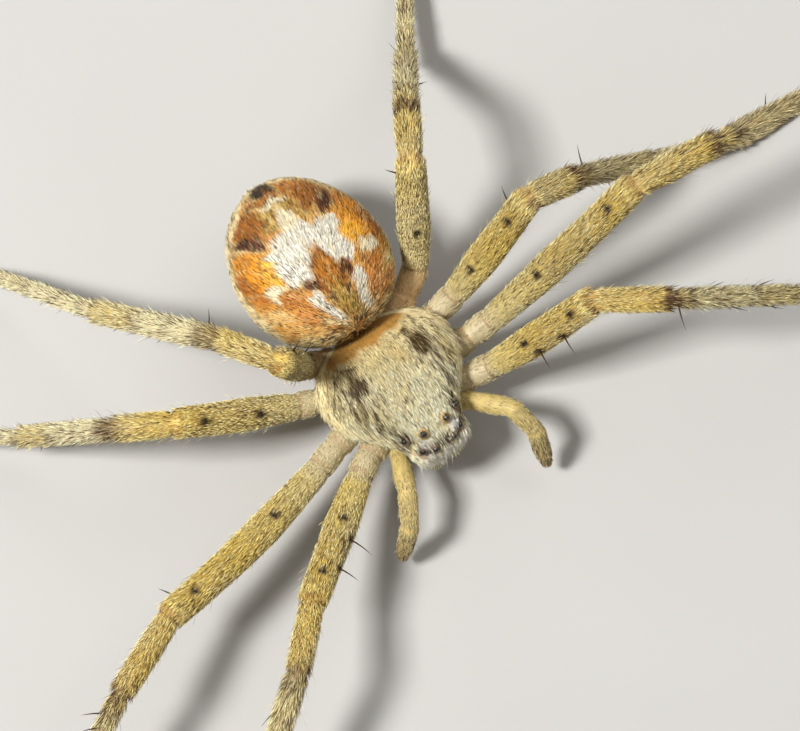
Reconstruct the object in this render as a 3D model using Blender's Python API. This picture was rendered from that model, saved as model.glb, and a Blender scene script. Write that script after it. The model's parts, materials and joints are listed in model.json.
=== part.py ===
"""A running crab spider of the genus Halodromus, a still model at life size.

Every length below is in millimetres. One empty at the top of the model brings them
to metres. X points to the spider's left, -Y to the front of its head and +Z up, and
the eight feet stand at Z = 0.
"""
import math

import bmesh
import bpy
import numpy as np
from mathutils import Vector

# Scale and stance
MILLIMETRE = 0.001
STAND_CENTRE = (0.0235, 0.6438)   # middle of the ground box, which goes to the origin
HEAD_TURN = 3.0                   # degrees the front body is turned to the left
ABDOMEN_TURN = 3.4                # degrees the hind body swings to the right

# Front body: half width, margin height, crest height and floor height along Y, then
# the half width of the breastplate between the leg roots
FRONT_Y = (-1.34, -1.28, -1.12, -0.90, -0.65, -0.35, 0.0, 0.40, 0.75, 1.05, 1.28, 1.45)
FRONT_WIDE = (0.38, 0.50, 0.60, 0.66, 0.80, 1.08, 1.32, 1.43, 1.40, 1.22, 0.98, 0.62)
FRONT_MARGIN = (1.24, 1.24, 1.26, 1.30, 1.32, 1.33, 1.34, 1.35, 1.36, 1.36, 1.34, 1.28)
FRONT_CREST = (1.50, 1.66, 1.86, 1.98, 2.04, 2.10, 2.14, 2.14, 2.04, 1.86, 1.62, 1.42)
FRONT_FLOOR = (1.12, 1.05, 0.98, 0.90, 0.84, 0.78, 0.74, 0.72, 0.74, 0.80, 0.92, 1.02)
FRONT_KEEL = (0.30, 0.36, 0.40, 0.42, 0.46, 0.54, 0.60, 0.60, 0.54, 0.42, 0.30, 0.26)
FRONT_RINGS = 20
DOME_POINTS = 15                  # across the back of one ring, margin to margin
BELLY_POINTS = 9                  # across its underside
MARGIN_STEP = 0.07                # the back's rim stands this far above the flank
WAIST = ((1.51, 1.12, 0.25), (1.62, 1.05, 0.20))    # Y, Z and radius of its rings

# Mouthparts under the head: half axes and centres of the plates beside the mouth
MAXILLA_AT, MAXILLA_SIZE, MAXILLA_TURN = (0.17, -0.77, 0.84), (0.10, 0.20, 0.09), 14.0
LIP_AT, LIP_SIZE = (0.0, -0.60, 0.80), (0.10, 0.12, 0.07)

# Hind body: an egg with a flattened back and underside
ABDOMEN_LENGTH = 3.34
ABDOMEN_FRONT = (0.0, 1.28, 0.0)
ABDOMEN_AXIS_Z = (1.86, 1.78)     # height of its axis in front and behind
ABDOMEN_HALF_WIDTH = 1.455
ABDOMEN_FORE_SWELL = 0.10         # how much wider its front half is than its middle
ABDOMEN_TOP = 2.92
ABDOMEN_UNDER = 0.52
ABDOMEN_RINGS = 24
ABDOMEN_SIDES = 32
# Spinnerets: side, distance from the front of the hind body, height, length, radius
SPINNERETS = ((0.15, 3.02, 1.22, 0.40, 0.12), (0.13, 3.10, 1.38, 0.36, 0.09))
ANAL_KNOB = (3.20, 1.53, 0.26, 0.10)

# Eyes: side, Y, Z, lens radius and the way each one looks
EYES = {
    "pme": (0.255, -0.94, 1.95, 0.066, (0.35, -0.45, 1.0)),
    "ple": (0.57, -0.80, 1.72, 0.066, (1.0, -0.1, 0.75)),
    "ame": (0.20, -1.24, 1.68, 0.062, (0.25, -1.0, 0.45)),
    "ale": (0.40, -1.14, 1.66, 0.066, (0.8, -0.9, 0.4)),
}
RIM_WIDER = 1.75                  # foot of an eye's raised rim against its lens
RIM_TOP = 1.22
RIM_SUNK, RIM_RISE = 0.10, 0.035
LENS_GAP = 0.006

# Legs: segment lengths from femur to tarsus for pairs 1 to 4
SEGMENTS = {
    1: (2.75, 1.45, 2.70, 2.50, 1.35),
    2: (4.00, 1.72, 3.50, 3.20, 1.60),
    3: (2.55, 1.12, 2.30, 2.05, 1.15),
    4: (2.62, 1.30, 2.75, 2.40, 1.20),
}
# Leg radii just past a joint, at the segment's thickest and just before the next joint
COXA_RADII = (0.24, 0.26, 0.27)
TROCHANTER_RADII = (0.25, 0.26, 0.25)
SEGMENT_RADII = (
    (0.245, 0.310, 0.275),
    (0.250, 0.265, 0.250),
    (0.245, 0.250, 0.240),
    (0.240, 0.240, 0.230),
    (0.205, 0.205, 0.150),
)
THICKEST_AT = (0.38, 0.45, 0.30, 0.30, 0.40)
# How far a femur bows to the front at its middle; the others are straight
FEMUR_BOW = {
    "leg_left_1": 0.03,
    "leg_left_2": 0.03,
    "leg_left_3": 0.02,
    "leg_right_2": 0.08,
    "leg_right_3": 0.02,
}
JOINT_PINCH = 0.93                # a joint against the thinner of its neighbours
JOINT_REACH = 0.12                # how far a joint's narrowing reaches to each side
BEND_RADIUS = 0.34
BEND_STEP = 40.0                  # degrees of bend that two rings may share
RING_GAP = 0.62                   # the longest stretch of a leg without a ring
LEG_SIDES = 12
FOOT_HEIGHT = 0.085               # of the tarsus centre line over the floor
PAD_LENGTH = 0.22                 # of the level pad that each tarsus ends in
TIP_STEPS = (0.75,)               # rings that round the end of a tube off

# Pose: where each coxa starts and ends and where its femur starts, then heading and
# pitch of each segment. The tarsus has a heading only and slopes down to the floor.
LEGS = {
    "leg_left_1": ((0.80, -0.34, 1.02), (1.20, -0.37, 1.12), (1.64, -0.46, 1.25),
                   ((-12.6, 45.8), (-35, 8), (-24.5, -28), (-23.5, -37), -24)),
    "leg_left_2": ((0.84, 0.20, 1.02), (1.60, 0.25, 1.12), (2.09, 0.25, 1.25),
                   ((1.7, 37.9), (-5.5, 1), (-1.5, -22), (0, -32), 0)),
    "leg_left_3": ((0.78, 0.74, 1.02), (1.36, 0.95, 1.12), (1.81, 1.02, 1.25),
                   ((11.6, 41.1), (-4.3, -22.9), (-5.6, -45.3), (-15, -19), -3)),
    "leg_left_4": ((0.44, 1.16, 1.02), (1.10, 1.56, 1.10), (1.57, 1.87, 1.20),
                   ((60, 58), (59, -18), (56, -55), (56, -13), 56)),
    "leg_right_1": ((-0.74, -0.42, 1.02), (-1.10, -0.55, 1.12), (-1.49, -0.80, 1.25),
                    ((-143.1, 17.1), (-134.5, 17), (-143, -15), (-141, -33), -141)),
    "leg_right_2": ((-0.84, 0.10, 1.02), (-1.50, -0.08, 1.12), (-2.02, -0.27, 1.25),
                    ((-166.9, 11.1), (-154.5, 10), (-151.5, -12), (-150.5, -26), -150)),
    "leg_right_3": ((-0.80, 0.66, 1.02), (-1.32, 0.80, 1.12), (-1.70, 0.91, 1.25),
                    ((161.3, 27.8), (148.7, -9.1), (139.7, -37.8), (143, -10), 143)),
    "leg_right_4": ((-0.46, 1.16, 1.02), (-0.84, 1.36, 1.08), (-1.17, 1.46, 1.20),
                    ((-160, 75), (122, -13), (125, -28.5), (116.5, -35), 117)),
}

# Palps: corners from the root to the tip, and radii at them
PALP_MARKS = (0.0, 1.0, 1.6, 2.0, 3.0, 4.0)
PALP_RADII = (0.18, 0.21, 0.215, 0.20, 0.185, 0.13)
PALP_BEND = 0.25
PALP_SIDES = 10
PALPS = {
    "palp_left": ((0.62, -0.60, 1.02), (0.95, -0.72, 1.10), (1.48, -1.35, 1.43),
                  (1.62, -1.90, 1.23), (1.55, -2.38, 0.55)),
    "palp_right": ((-0.55, -0.66, 1.02), (-0.68, -0.86, 1.10), (-0.98, -1.57, 1.40),
                   (-1.27, -2.08, 1.20), (-1.60, -2.34, 0.50)),
}

# Jaws: the thick upright limb and the short fang folded in under it
JAW_PATH = ((0.21, -1.12, 1.06), (0.22, -1.28, 0.92), (0.20, -1.24, 0.66), (0.15, -1.10, 0.50))
JAW_RADII = (0.17, 0.20, 0.16, 0.06)
FANG_PATH = ((0.17, -1.15, 0.60), (0.10, -1.07, 0.47), (0.04, -1.00, 0.46))
FANG_RADII = (0.06, 0.045, 0.012)
SMALL_SIDES = 8

# Base colour and roughness of each kind of surface
SURFACES = {
    "front": ((0.56, 0.46, 0.30, 1.0), 0.72),
    "hind": ((0.52, 0.29, 0.12, 1.0), 0.65),
    "leg": ((0.52, 0.40, 0.19, 1.0), 0.68),
    "palp": ((0.58, 0.47, 0.24, 1.0), 0.66),
    "jaw": ((0.45, 0.30, 0.16, 1.0), 0.50),
    "eye": ((0.008, 0.006, 0.005, 1.0), 0.08),
}


def clear_scene():
    for obj in list(bpy.data.objects):
        bpy.data.objects.remove(obj, do_unlink=True)


def empty(name, parent=None, location=(0.0, 0.0, 0.0), turn=0.0, size=1.0):
    """A point that pieces hang from, turned about the upright axis by degrees."""
    holder = bpy.data.objects.new(name, None)
    bpy.context.scene.collection.objects.link(holder)
    holder.parent = parent
    holder.location = location
    holder.rotation_euler = (0.0, 0.0, math.radians(turn))
    holder.scale = (size, size, size)
    return holder


def solid(name, shape, kind, parent, location=(0.0, 0.0, 0.0), look=None):
    """One closed mesh object with outward faces and its own material."""
    bmesh.ops.recalc_face_normals(shape, faces=shape.faces)
    if shape.calc_volume(signed=True) < 0:
        bmesh.ops.reverse_faces(shape, faces=shape.faces)
    mesh = bpy.data.meshes.new(name)
    shape.to_mesh(mesh)
    shape.free()
    mesh.shade_smooth()
    obj = bpy.data.objects.new(name, mesh)
    bpy.context.scene.collection.objects.link(obj)
    obj.parent = parent
    obj.location = location
    if look is not None:
        obj.rotation_euler = look.to_track_quat("Z", "Y").to_euler()
    colour, roughness = SURFACES[kind]
    material = bpy.data.materials.new(name)
    material.use_nodes = True
    surface = material.node_tree.nodes["Principled BSDF"]
    surface.inputs["Base Color"].default_value = colour
    surface.inputs["Roughness"].default_value = roughness
    mesh.materials.append(material)
    return obj


def fuse(target, helpers):
    """Joins helper solids to one node by a single union and removes them."""
    group = bpy.data.collections.new(target.name + "_parts")
    bpy.context.scene.collection.children.link(group)
    for helper in helpers:
        bpy.context.scene.collection.objects.unlink(helper)
        group.objects.link(helper)
    join = target.modifiers.new("join", "BOOLEAN")
    join.operation = "UNION"
    join.operand_type = "COLLECTION"
    join.collection = group
    join.solver = "EXACT"
    bpy.context.view_layer.update()
    bpy.context.view_layer.objects.active = target
    bpy.ops.object.modifier_apply(modifier=join.name)
    for helper in helpers:
        bpy.data.objects.remove(helper, do_unlink=True)
    bpy.data.collections.remove(group)
    while len(target.data.materials) > 1:
        target.data.materials.pop()


def loft(rings):
    """A closed body through rings: each pair is bridged and both ends are filled."""
    shape = bmesh.new()
    loops = []
    for ring in rings:
        corners = [shape.verts.new(point) for point in ring]
        pairs = zip(corners, corners[1:] + corners[:1])
        loops.append([shape.edges.new(pair) for pair in pairs])
    for near, far in zip(loops, loops[1:]):
        bmesh.ops.bridge_loops(shape, edges=near + far)
    for end in (loops[0], loops[-1]):
        bmesh.ops.edgeloop_fill(shape, edges=end)
    return shape


def direction(heading, pitch):
    """Unit vector for a heading in the ground plane and a pitch above it."""
    turn, rise = math.radians(heading), math.radians(pitch)
    flat = math.cos(rise)
    return Vector((flat * math.cos(turn), flat * math.sin(turn), math.sin(rise)))


def bent_path(corners, bend, least=0.0):
    """Points along straight runs joined by arcs. Mark 1.5 is halfway past corner 1."""
    corners = [Vector(corner) for corner in corners]
    points, marks = [corners[0]], [0.0]
    for k in range(1, len(corners) - 1):
        before = corners[k] - corners[k - 1]
        after = corners[k + 1] - corners[k]
        angle = before.angle(after)
        room = 0.45 * min(before.length, after.length)
        reach = min(room, max(least, bend * math.tan(angle / 2)))
        start = corners[k] - before.normalized() * reach
        end = corners[k] + after.normalized() * reach
        steps = 2 * max(1, math.ceil(math.degrees(angle) / BEND_STEP))
        for i in range(steps + 1):
            t = i / steps
            points.append(start * (1 - t) ** 2 + corners[k] * 2 * t * (1 - t) + end * t * t)
            length = before.length if t < 0.5 else after.length
            marks.append(k + (2 * t - 1) * reach / length)
    points.append(corners[-1])
    marks.append(float(len(corners) - 1))
    return points, marks


def fill_gaps(points, marks):
    """Adds points on stretches longer than RING_GAP."""
    path, where = [points[0]], [marks[0]]
    for k in range(1, len(points)):
        step = points[k] - points[k - 1]
        cuts = max(1, math.ceil(step.length / RING_GAP))
        for i in range(1, cuts + 1):
            path.append(points[k - 1] + step * (i / cuts))
            where.append(marks[k - 1] + (marks[k] - marks[k - 1]) * i / cuts)
    return path, where


def tube(path, radii, sides):
    """Round rings across a path, carried along it without twist, with a blunt end."""
    side = (path[1] - path[0]).cross(Vector((0.0, 0.0, 1.0))).normalized()
    rings = []
    for k, (point, radius) in enumerate(zip(path, radii)):
        way = (path[min(k + 1, len(path) - 1)] - path[max(k - 1, 0)]).normalized()
        side = (side - way * side.dot(way)).normalized()
        up = side.cross(way)
        ring = []
        for i in range(sides):
            turn = 2 * math.pi * (i + 0.5) / sides
            ring.append(point + (side * math.cos(turn) + up * math.sin(turn)) * radius)
        rings.append(ring)
    for step in TIP_STEPS:
        push = way * radius * math.sqrt(1 - step * step)
        rings.append([path[-1] + (corner - path[-1]) * step + push for corner in ring])
    return rings


def leg_radii(pair):
    """Marks along a leg and the radius at each, with a narrowing at every joint."""
    lengths = (0.45, 0.45) + SEGMENTS[pair]
    bands = (COXA_RADII, TROCHANTER_RADII) + SEGMENT_RADII
    thickest = (0.5, 0.5) + THICKEST_AT
    marks, radii = [], []
    for k, (length, band, swell) in enumerate(zip(lengths, bands, thickest)):
        edge = min(0.3, JOINT_REACH / length)
        pinch = band[0] if k == 0 else min(band[0], bands[k - 1][2])
        marks += [k, k + edge, k + swell, k + 1 - edge]
        radii += [pinch * JOINT_PINCH, band[0], band[1], band[2]]
    marks += [len(bands), len(bands) + 1]
    radii += [bands[-1][2], bands[-1][2]]
    return marks, radii


def leg(name, start, coxa_end, femur_start, ways, parent):
    """A whole leg from coxa to foot, modelled from its root outwards."""
    pair = int(name[-1])
    root = Vector(start)
    corners = [root, Vector(coxa_end), Vector(femur_start)]
    for length, (turn, pitch) in zip(SEGMENTS[pair][:-1], ways[:-1]):
        corners.append(corners[-1] + direction(turn, pitch) * length)
    slope = SEGMENTS[pair][-1] - PAD_LENGTH
    pitch = math.degrees(math.asin((FOOT_HEIGHT - corners[-1].z) / slope))
    corners.append(corners[-1] + direction(ways[-1], pitch) * slope)
    corners.append(corners[-1] + direction(ways[-1], 0.0) * PAD_LENGTH)
    path, marks = fill_gaps(*bent_path(corners, BEND_RADIUS, JOINT_REACH))
    forward = math.copysign(1.0, root.x)
    bow = direction(ways[0][0] - 90.0, 0.0) * forward * FEMUR_BOW.get(name, 0.0)
    for k, mark in enumerate(marks):
        if 2.0 < mark < 3.0:
            path[k] = path[k] + bow * math.sin(math.pi * (mark - 2.0))
    rings = tube(path, np.interp(marks, *leg_radii(pair)), LEG_SIDES)
    shape = loft([[corner - root for corner in ring] for ring in rings])
    for corner in shape.verts:
        corner.co.z = max(corner.co.z, -root.z)
    return solid(name, shape, "leg", parent, root)


def smooth_profile(y, values):
    """The value at Y of a smooth curve through the stations of the front body."""
    k = min(max(int(np.searchsorted(FRONT_Y, y)) - 1, 0), len(FRONT_Y) - 2)
    slopes = np.gradient(np.array(values), np.array(FRONT_Y))
    span = FRONT_Y[k + 1] - FRONT_Y[k]
    t = (y - FRONT_Y[k]) / span
    rise = t * t * (3 - 2 * t)
    curve = values[k] + (values[k + 1] - values[k]) * rise
    return curve + span * t * (1 - t) * (slopes[k] * (1 - t) - slopes[k + 1] * t)


def front_ring(y):
    """Cross-section of the front body: domed back, sharp side rim, narrow keel."""
    profiles = (FRONT_WIDE, FRONT_MARGIN, FRONT_CREST, FRONT_FLOOR, FRONT_KEEL)
    wide, margin, crest, floor, keel = (smooth_profile(y, values) for values in profiles)
    ring = []
    for i in range(DOME_POINTS):
        turn = math.pi * i / (DOME_POINTS - 1)
        x = math.cos(turn)
        height = (crest - margin) * max(math.sin(turn), 0.0) ** 0.9
        ring.append((wide * math.copysign(abs(x) ** 0.85, x), y, margin + height))
    ledge = margin - MARGIN_STEP
    inner = min(keel + 0.08, wide * 0.8)
    half = ((wide - 0.04, ledge), (inner, ledge - 0.02), (keel, floor + 0.1), (keel * 0.6, floor))
    ring += [(-x, y, z) for x, z in half]
    ring.append((0.0, y, floor - 0.02))
    ring += [(x, y, z) for x, z in reversed(half)]
    return ring


def waist_ring(y, z, radius):
    """A round ring with as many corners as a ring of the front body."""
    turns = [i / (DOME_POINTS - 1) for i in range(DOME_POINTS)]
    turns += [1 + (i + 1) / (BELLY_POINTS + 1) for i in range(BELLY_POINTS)]
    return [(radius * math.cos(math.pi * t), y, z + radius * math.sin(math.pi * t)) for t in turns]


def ball(name, centre, size, kind, parent, turn=0.0):
    """A small ellipsoid, turned about the upright axis by degrees."""
    shape = bmesh.new()
    bmesh.ops.create_icosphere(shape, subdivisions=2, radius=1.0)
    bmesh.ops.scale(shape, vec=size, verts=shape.verts)
    obj = solid(name, shape, kind, parent, centre)
    obj.rotation_euler = (0.0, 0.0, math.radians(turn))
    return obj


def rim(name, place, way, radius, parent):
    """The low cone that raises one eye above the back."""
    shape = bmesh.new()
    bmesh.ops.create_cone(shape, cap_ends=True, segments=12, radius1=radius * RIM_WIDER,
                          radius2=radius * RIM_TOP, depth=RIM_SUNK + RIM_RISE)
    middle = place + way * (RIM_RISE - RIM_SUNK) / 2
    return solid(name, shape, "front", parent, middle, way)


def lens(name, place, way, radius, parent):
    """Half a ball standing on its rim."""
    shape = bmesh.new()
    bmesh.ops.create_uvsphere(shape, u_segments=12, v_segments=8, radius=radius)
    everything = shape.verts[:] + shape.edges[:] + shape.faces[:]
    bmesh.ops.bisect_plane(shape, geom=everything, plane_co=(0, 0, 0), plane_no=(0, 0, 1),
                           clear_inner=True)
    border = [edge for edge in shape.edges if edge.is_boundary]
    bmesh.ops.edgeloop_fill(shape, edges=border)
    return solid(name, shape, "eye", parent, place + way * (RIM_RISE + LENS_GAP), way)


def front_body(parent):
    """Back plate, breastplate and waist with the mouthparts and eye rims fused on."""
    ys = [FRONT_Y[0]] + list(np.linspace(FRONT_Y[1], FRONT_Y[-1], FRONT_RINGS))
    rings = [front_ring(float(y)) for y in ys]
    rings += [waist_ring(*station) for station in WAIST]
    body = solid("prosoma", loft(rings), "front", parent)
    helpers = [ball("lip", LIP_AT, LIP_SIZE, "front", parent)]
    for word, side in SIDES:
        x, y, z = MAXILLA_AT
        helpers.append(ball("maxilla_" + word, (x * side, y, z), MAXILLA_SIZE, "front",
                            parent, MAXILLA_TURN * side))
        for kind, (x, y, z, radius, look) in EYES.items():
            place = Vector((x * side, y, z))
            way = Vector((look[0] * side, look[1], look[2])).normalized()
            helpers.append(rim("rim_" + kind + word, place, way, radius, parent))
            lens("eye_" + kind + "_" + word, place, way, radius, parent)
    fuse(body, helpers)


def hind_ring(share):
    """Cross-section of the hind body at a share of its way round from front to back."""
    turn = math.pi * share
    along, swell = (1 - math.cos(turn)) / 2, math.sin(turn)
    axis = ABDOMEN_AXIS_Z[0] * (1 - along) + ABDOMEN_AXIS_Z[1] * along
    above = (ABDOMEN_TOP - axis) * swell ** 0.8
    below = (axis - ABDOMEN_UNDER) * swell ** (2.0 - 1.2 * along)
    wide = ABDOMEN_HALF_WIDTH * swell ** 0.92 * (1 + ABDOMEN_FORE_SWELL * (1 - 2 * along))
    ring = []
    for i in range(ABDOMEN_SIDES):
        around = 2 * math.pi * i / ABDOMEN_SIDES
        height = math.sin(around)
        height *= above if height > 0 else below
        ring.append((wide * math.cos(around), ABDOMEN_LENGTH * along, axis + height))
    return ring


def hind_body(parent):
    """The egg of the hind body with its spinnerets and the knob above them."""
    shares = [(k + 0.5) / ABDOMEN_RINGS for k in range(ABDOMEN_RINGS)]
    body = solid("abdomen", loft([hind_ring(share) for share in shares]), "hind", parent)
    y, z, length, radius = ANAL_KNOB
    path = [Vector((0.0, y + length * t, z - 0.10 * t)) for t in (0.0, 0.6, 1.0)]
    rings = tube(path, (radius, radius * 0.9, radius * 0.5), SMALL_SIDES)
    helpers = [solid("knob", loft(rings), "hind", parent)]
    for word, side in SIDES:
        for k, (x, y, z, length, radius) in enumerate(SPINNERETS):
            path = [Vector((x * side * (1 - 0.2 * t), y + length * t, z)) for t in (0.0, 0.6, 1.0)]
            rings = tube(path, (radius, radius * 0.85, radius * 0.5), SMALL_SIDES)
            helpers.append(solid("spinneret_%s_%d" % (word, k), loft(rings), "hind", parent))
    fuse(body, helpers)


def palp(name, corners, parent):
    """A short feeler with an elbow, from its root beside the mouth to its tip."""
    path, marks = bent_path(corners, PALP_BEND)
    rings = tube(path, np.interp(marks, PALP_MARKS, PALP_RADII), PALP_SIDES)
    root = Vector(corners[0])
    shape = loft([[corner - root for corner in ring] for ring in rings])
    return solid(name, shape, "palp", parent, root)


def jaw(word, side, parent):
    """One jaw with its fang."""
    limb = [Vector((x * side, y, z)) for x, y, z in JAW_PATH]
    fang = [Vector((x * side, y, z)) for x, y, z in FANG_PATH]
    limb = solid("chelicera_" + word, loft(tube(limb, JAW_RADII, PALP_SIDES)), "jaw", parent)
    fang = solid("fang_" + word, loft(tube(fang, FANG_RADII, SMALL_SIDES)), "jaw", parent)
    fuse(limb, [fang])


SIDES = (("left", 1), ("right", -1))

clear_scene()
away = (-STAND_CENTRE[0] * MILLIMETRE, -STAND_CENTRE[1] * MILLIMETRE, 0.0)
spider = empty("spider", location=away, size=MILLIMETRE)
front_half = empty("front_half", spider, turn=HEAD_TURN)
hind_half = empty("hind_half", spider, ABDOMEN_FRONT, ABDOMEN_TURN)
front_body(front_half)
hind_body(hind_half)
for word, side in SIDES:
    jaw(word, side, front_half)
for name, (start, coxa_end, femur_start, ways) in LEGS.items():
    leg(name, start, coxa_end, femur_start, ways, spider)
for name, corners in PALPS.items():
    palp(name, corners, spider)
bpy.context.view_layer.update()
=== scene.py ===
import json
import math

import bmesh
import bpy
import numpy as np
from mathutils import Matrix, Vector, kdtree

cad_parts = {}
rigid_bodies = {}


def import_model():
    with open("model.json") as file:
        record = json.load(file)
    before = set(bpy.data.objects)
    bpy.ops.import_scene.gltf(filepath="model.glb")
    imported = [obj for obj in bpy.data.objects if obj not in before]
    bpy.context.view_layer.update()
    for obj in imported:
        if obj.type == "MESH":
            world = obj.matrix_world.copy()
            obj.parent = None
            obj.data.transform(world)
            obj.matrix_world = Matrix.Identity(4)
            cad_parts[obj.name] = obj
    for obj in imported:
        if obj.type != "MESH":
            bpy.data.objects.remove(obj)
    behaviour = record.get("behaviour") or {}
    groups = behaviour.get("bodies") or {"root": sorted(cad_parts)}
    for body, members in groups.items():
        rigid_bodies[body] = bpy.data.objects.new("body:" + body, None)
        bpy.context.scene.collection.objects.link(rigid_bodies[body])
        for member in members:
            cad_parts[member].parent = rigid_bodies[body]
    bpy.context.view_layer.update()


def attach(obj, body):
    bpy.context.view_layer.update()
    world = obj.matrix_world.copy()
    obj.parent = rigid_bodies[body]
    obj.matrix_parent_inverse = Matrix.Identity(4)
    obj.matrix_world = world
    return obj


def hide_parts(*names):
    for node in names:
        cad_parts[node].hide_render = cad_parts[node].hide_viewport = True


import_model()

# Front body: the flat shield over the head and legs, with the breastplate under it.
# It is a thin shell of cream cuticle with a smooth pale rim, a pit in its middle and
# faint furrows from the pit towards the leg roots. Lengths are in millimetres.
HEAD_TURN = 3.0
COAT_DEPTH = 0.035
# Stations from front to back, with the half width there, the heights of the rim, the
# crest and the underside, and the half width of the keel
FRONT_Y = (-1.34, -1.28, -1.12, -0.90, -0.65, -0.35, 0.0, 0.40, 0.75, 1.05, 1.28, 1.45)
FRONT_WIDE = (0.38, 0.50, 0.60, 0.66, 0.80, 1.08, 1.32, 1.43, 1.40, 1.22, 0.98, 0.62)
FRONT_MARGIN = (1.24, 1.24, 1.26, 1.30, 1.32, 1.33, 1.34, 1.35, 1.36, 1.36, 1.34, 1.28)
FRONT_CREST = (1.50, 1.66, 1.86, 1.98, 2.04, 2.10, 2.14, 2.14, 2.04, 1.86, 1.62, 1.42)
FRONT_FLOOR = (1.12, 1.05, 0.98, 0.90, 0.84, 0.78, 0.74, 0.72, 0.74, 0.80, 0.92, 1.02)
FRONT_KEEL = (0.30, 0.36, 0.40, 0.42, 0.46, 0.54, 0.60, 0.60, 0.54, 0.42, 0.30, 0.26)
WAIST = ((1.51, 1.12, 0.23), (1.60, 1.05, 0.19), (1.70, 1.00, 0.17))
FRONT_RINGS, DOME_POINTS, BELLY_POINTS = 104, 96, 46
PIT = (0.0, 0.42)
FURROW_DEPTH, GROOVE_DEPTH, PIT_DEPTH, RIM_RISE = 0.018, 0.022, 0.06, 0.018

shells = []


def shell(name, rings, run):
    """Keeps a closed surface through rings of points, with a pole at each end."""
    rings = np.asarray(rings, float)
    count, sides = rings.shape[:2]
    points = np.concatenate([rings.reshape(-1, 3), rings[[0, -1]].mean(axis=1)])
    faces = []
    for k in range(count - 1):
        for i in range(sides):
            j = (i + 1) % sides
            faces.append((k * sides + i, k * sides + j, (k + 1) * sides + j, (k + 1) * sides + i))
    last = (count - 1) * sides
    for i in range(sides):
        j = (i + 1) % sides
        faces.append((j, i, count * sides))
        faces.append((last + i, last + j, count * sides + 1))
    turn = np.append(np.tile(np.arange(sides) / sides, count), (0.0, 0.0))
    along = np.append(np.repeat(run, sides), (run[0], run[-1]))
    shells.append({"name": name, "points": points, "faces": faces, "turn": turn, "run": along})


def turned(points, degrees, about=(0.0, 0.0, 0.0)):
    """Points turned about an upright axis through a place."""
    c, s = math.cos(math.radians(degrees)), math.sin(math.radians(degrees))
    spin = np.array([[c, s, 0.0], [-s, c, 0.0], [0.0, 0.0, 1.0]])
    return (np.asarray(points, float) - about) @ spin + about


def clamp(values):
    """Values held between 0 and 1."""
    return np.clip(values, 0, 1)


def smooth_profile(ys, values):
    """A smooth curve through the stations of the front body, read at many Y."""
    stations, values = np.array(FRONT_Y), np.array(values)
    k = np.clip(np.searchsorted(stations, ys) - 1, 0, len(stations) - 2)
    slopes = np.gradient(values, stations)
    span = stations[k + 1] - stations[k]
    t = (ys - stations[k]) / span
    curve = values[k] + (values[k + 1] - values[k]) * t * t * (3 - 2 * t)
    return curve + span * t * (1 - t) * (slopes[k] * (1 - t) - slopes[k + 1] * t)


def front_rings(ys):
    """Cross-sections of the front body with the coat's depth taken off."""
    rings = []
    profiles = (FRONT_WIDE, FRONT_MARGIN, FRONT_CREST, FRONT_FLOOR, FRONT_KEEL)
    for y, wide, margin, crest, floor, keel in zip(ys, *(smooth_profile(ys, v) for v in profiles)):
        wide, crest, floor = wide - 0.02, crest - COAT_DEPTH, floor + COAT_DEPTH
        a = np.linspace(0.0, math.pi, DOME_POINTS)
        x = wide * np.sign(np.cos(a)) * np.abs(np.cos(a)) ** 0.85
        lift = clamp(np.sin(a)) ** 0.9
        z = margin + (crest - margin) * lift
        far = np.hypot(x - PIT[0], y - PIT[1])
        way = np.arctan2(x - PIT[0], PIT[1] - y)
        furrow = np.abs(np.cos(way * 2.5 + 0.6)) ** 10 * clamp(far * 2) * lift
        groove = np.exp(-((np.abs(x) - 0.30 - 0.25 * (PIT[1] - y)) / 0.07) ** 2)
        groove *= lift if -0.75 < y < PIT[1] else 0.0
        pit = np.exp(-(x / 0.045) ** 2 - ((y - PIT[1]) / 0.17) ** 2)
        z = z - FURROW_DEPTH * furrow - GROOVE_DEPTH * groove - PIT_DEPTH * pit
        lip = np.exp(-((np.abs(x) - wide + 0.05) / 0.05) ** 2) * RIM_RISE
        dome = np.stack([x, np.full_like(x, y), z + lip], axis=1)
        ledge = margin - 0.07
        inner = min(keel + 0.08, wide * 0.8)
        half = [(wide - 0.04, ledge), (inner, ledge - 0.02), (keel, floor + 0.1), (keel * 0.6, floor)]
        belly = [(-x, z) for x, z in half] + [(0.0, floor - 0.02)] + half[::-1]
        belly = np.array([(-wide, margin)] + belly + [(wide, margin)])
        reach = np.append(0.0, np.cumsum(np.linalg.norm(np.diff(belly, axis=0), axis=1)))
        spots = np.linspace(0.0, reach[-1], BELLY_POINTS + 2)[1:-1]
        under = np.stack([np.interp(spots, reach, belly[:, i]) for i in (0, 1)], axis=1)
        under[1:-1] = (under[:-2] + 2 * under[1:-1] + under[2:]) / 4
        under = np.stack([under[:, 0], np.full(len(under), y), under[:, 1]], axis=1)
        rings.append(np.concatenate([dome, under]))
    return rings


def waist_ring(y, z, radius):
    """A round ring with as many corners as a ring of the front body."""
    below = 1 + np.arange(1, BELLY_POINTS + 1) / (BELLY_POINTS + 1)
    a = math.pi * np.append(np.linspace(0, 1, DOME_POINTS), below)
    return np.stack([radius * np.cos(a), np.full_like(a, y), z + radius * np.sin(a)], axis=1)


front_y = np.linspace(FRONT_Y[0], FRONT_Y[-1], FRONT_RINGS)
rings = front_rings(front_y) + [waist_ring(*station) for station in WAIST]
front_run = np.append(front_y, [station[0] for station in WAIST])
front_run = (front_run - front_run[0]) / (front_run[-1] - front_run[0])
shell("front", turned(rings, HEAD_TURN), front_run)

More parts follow.
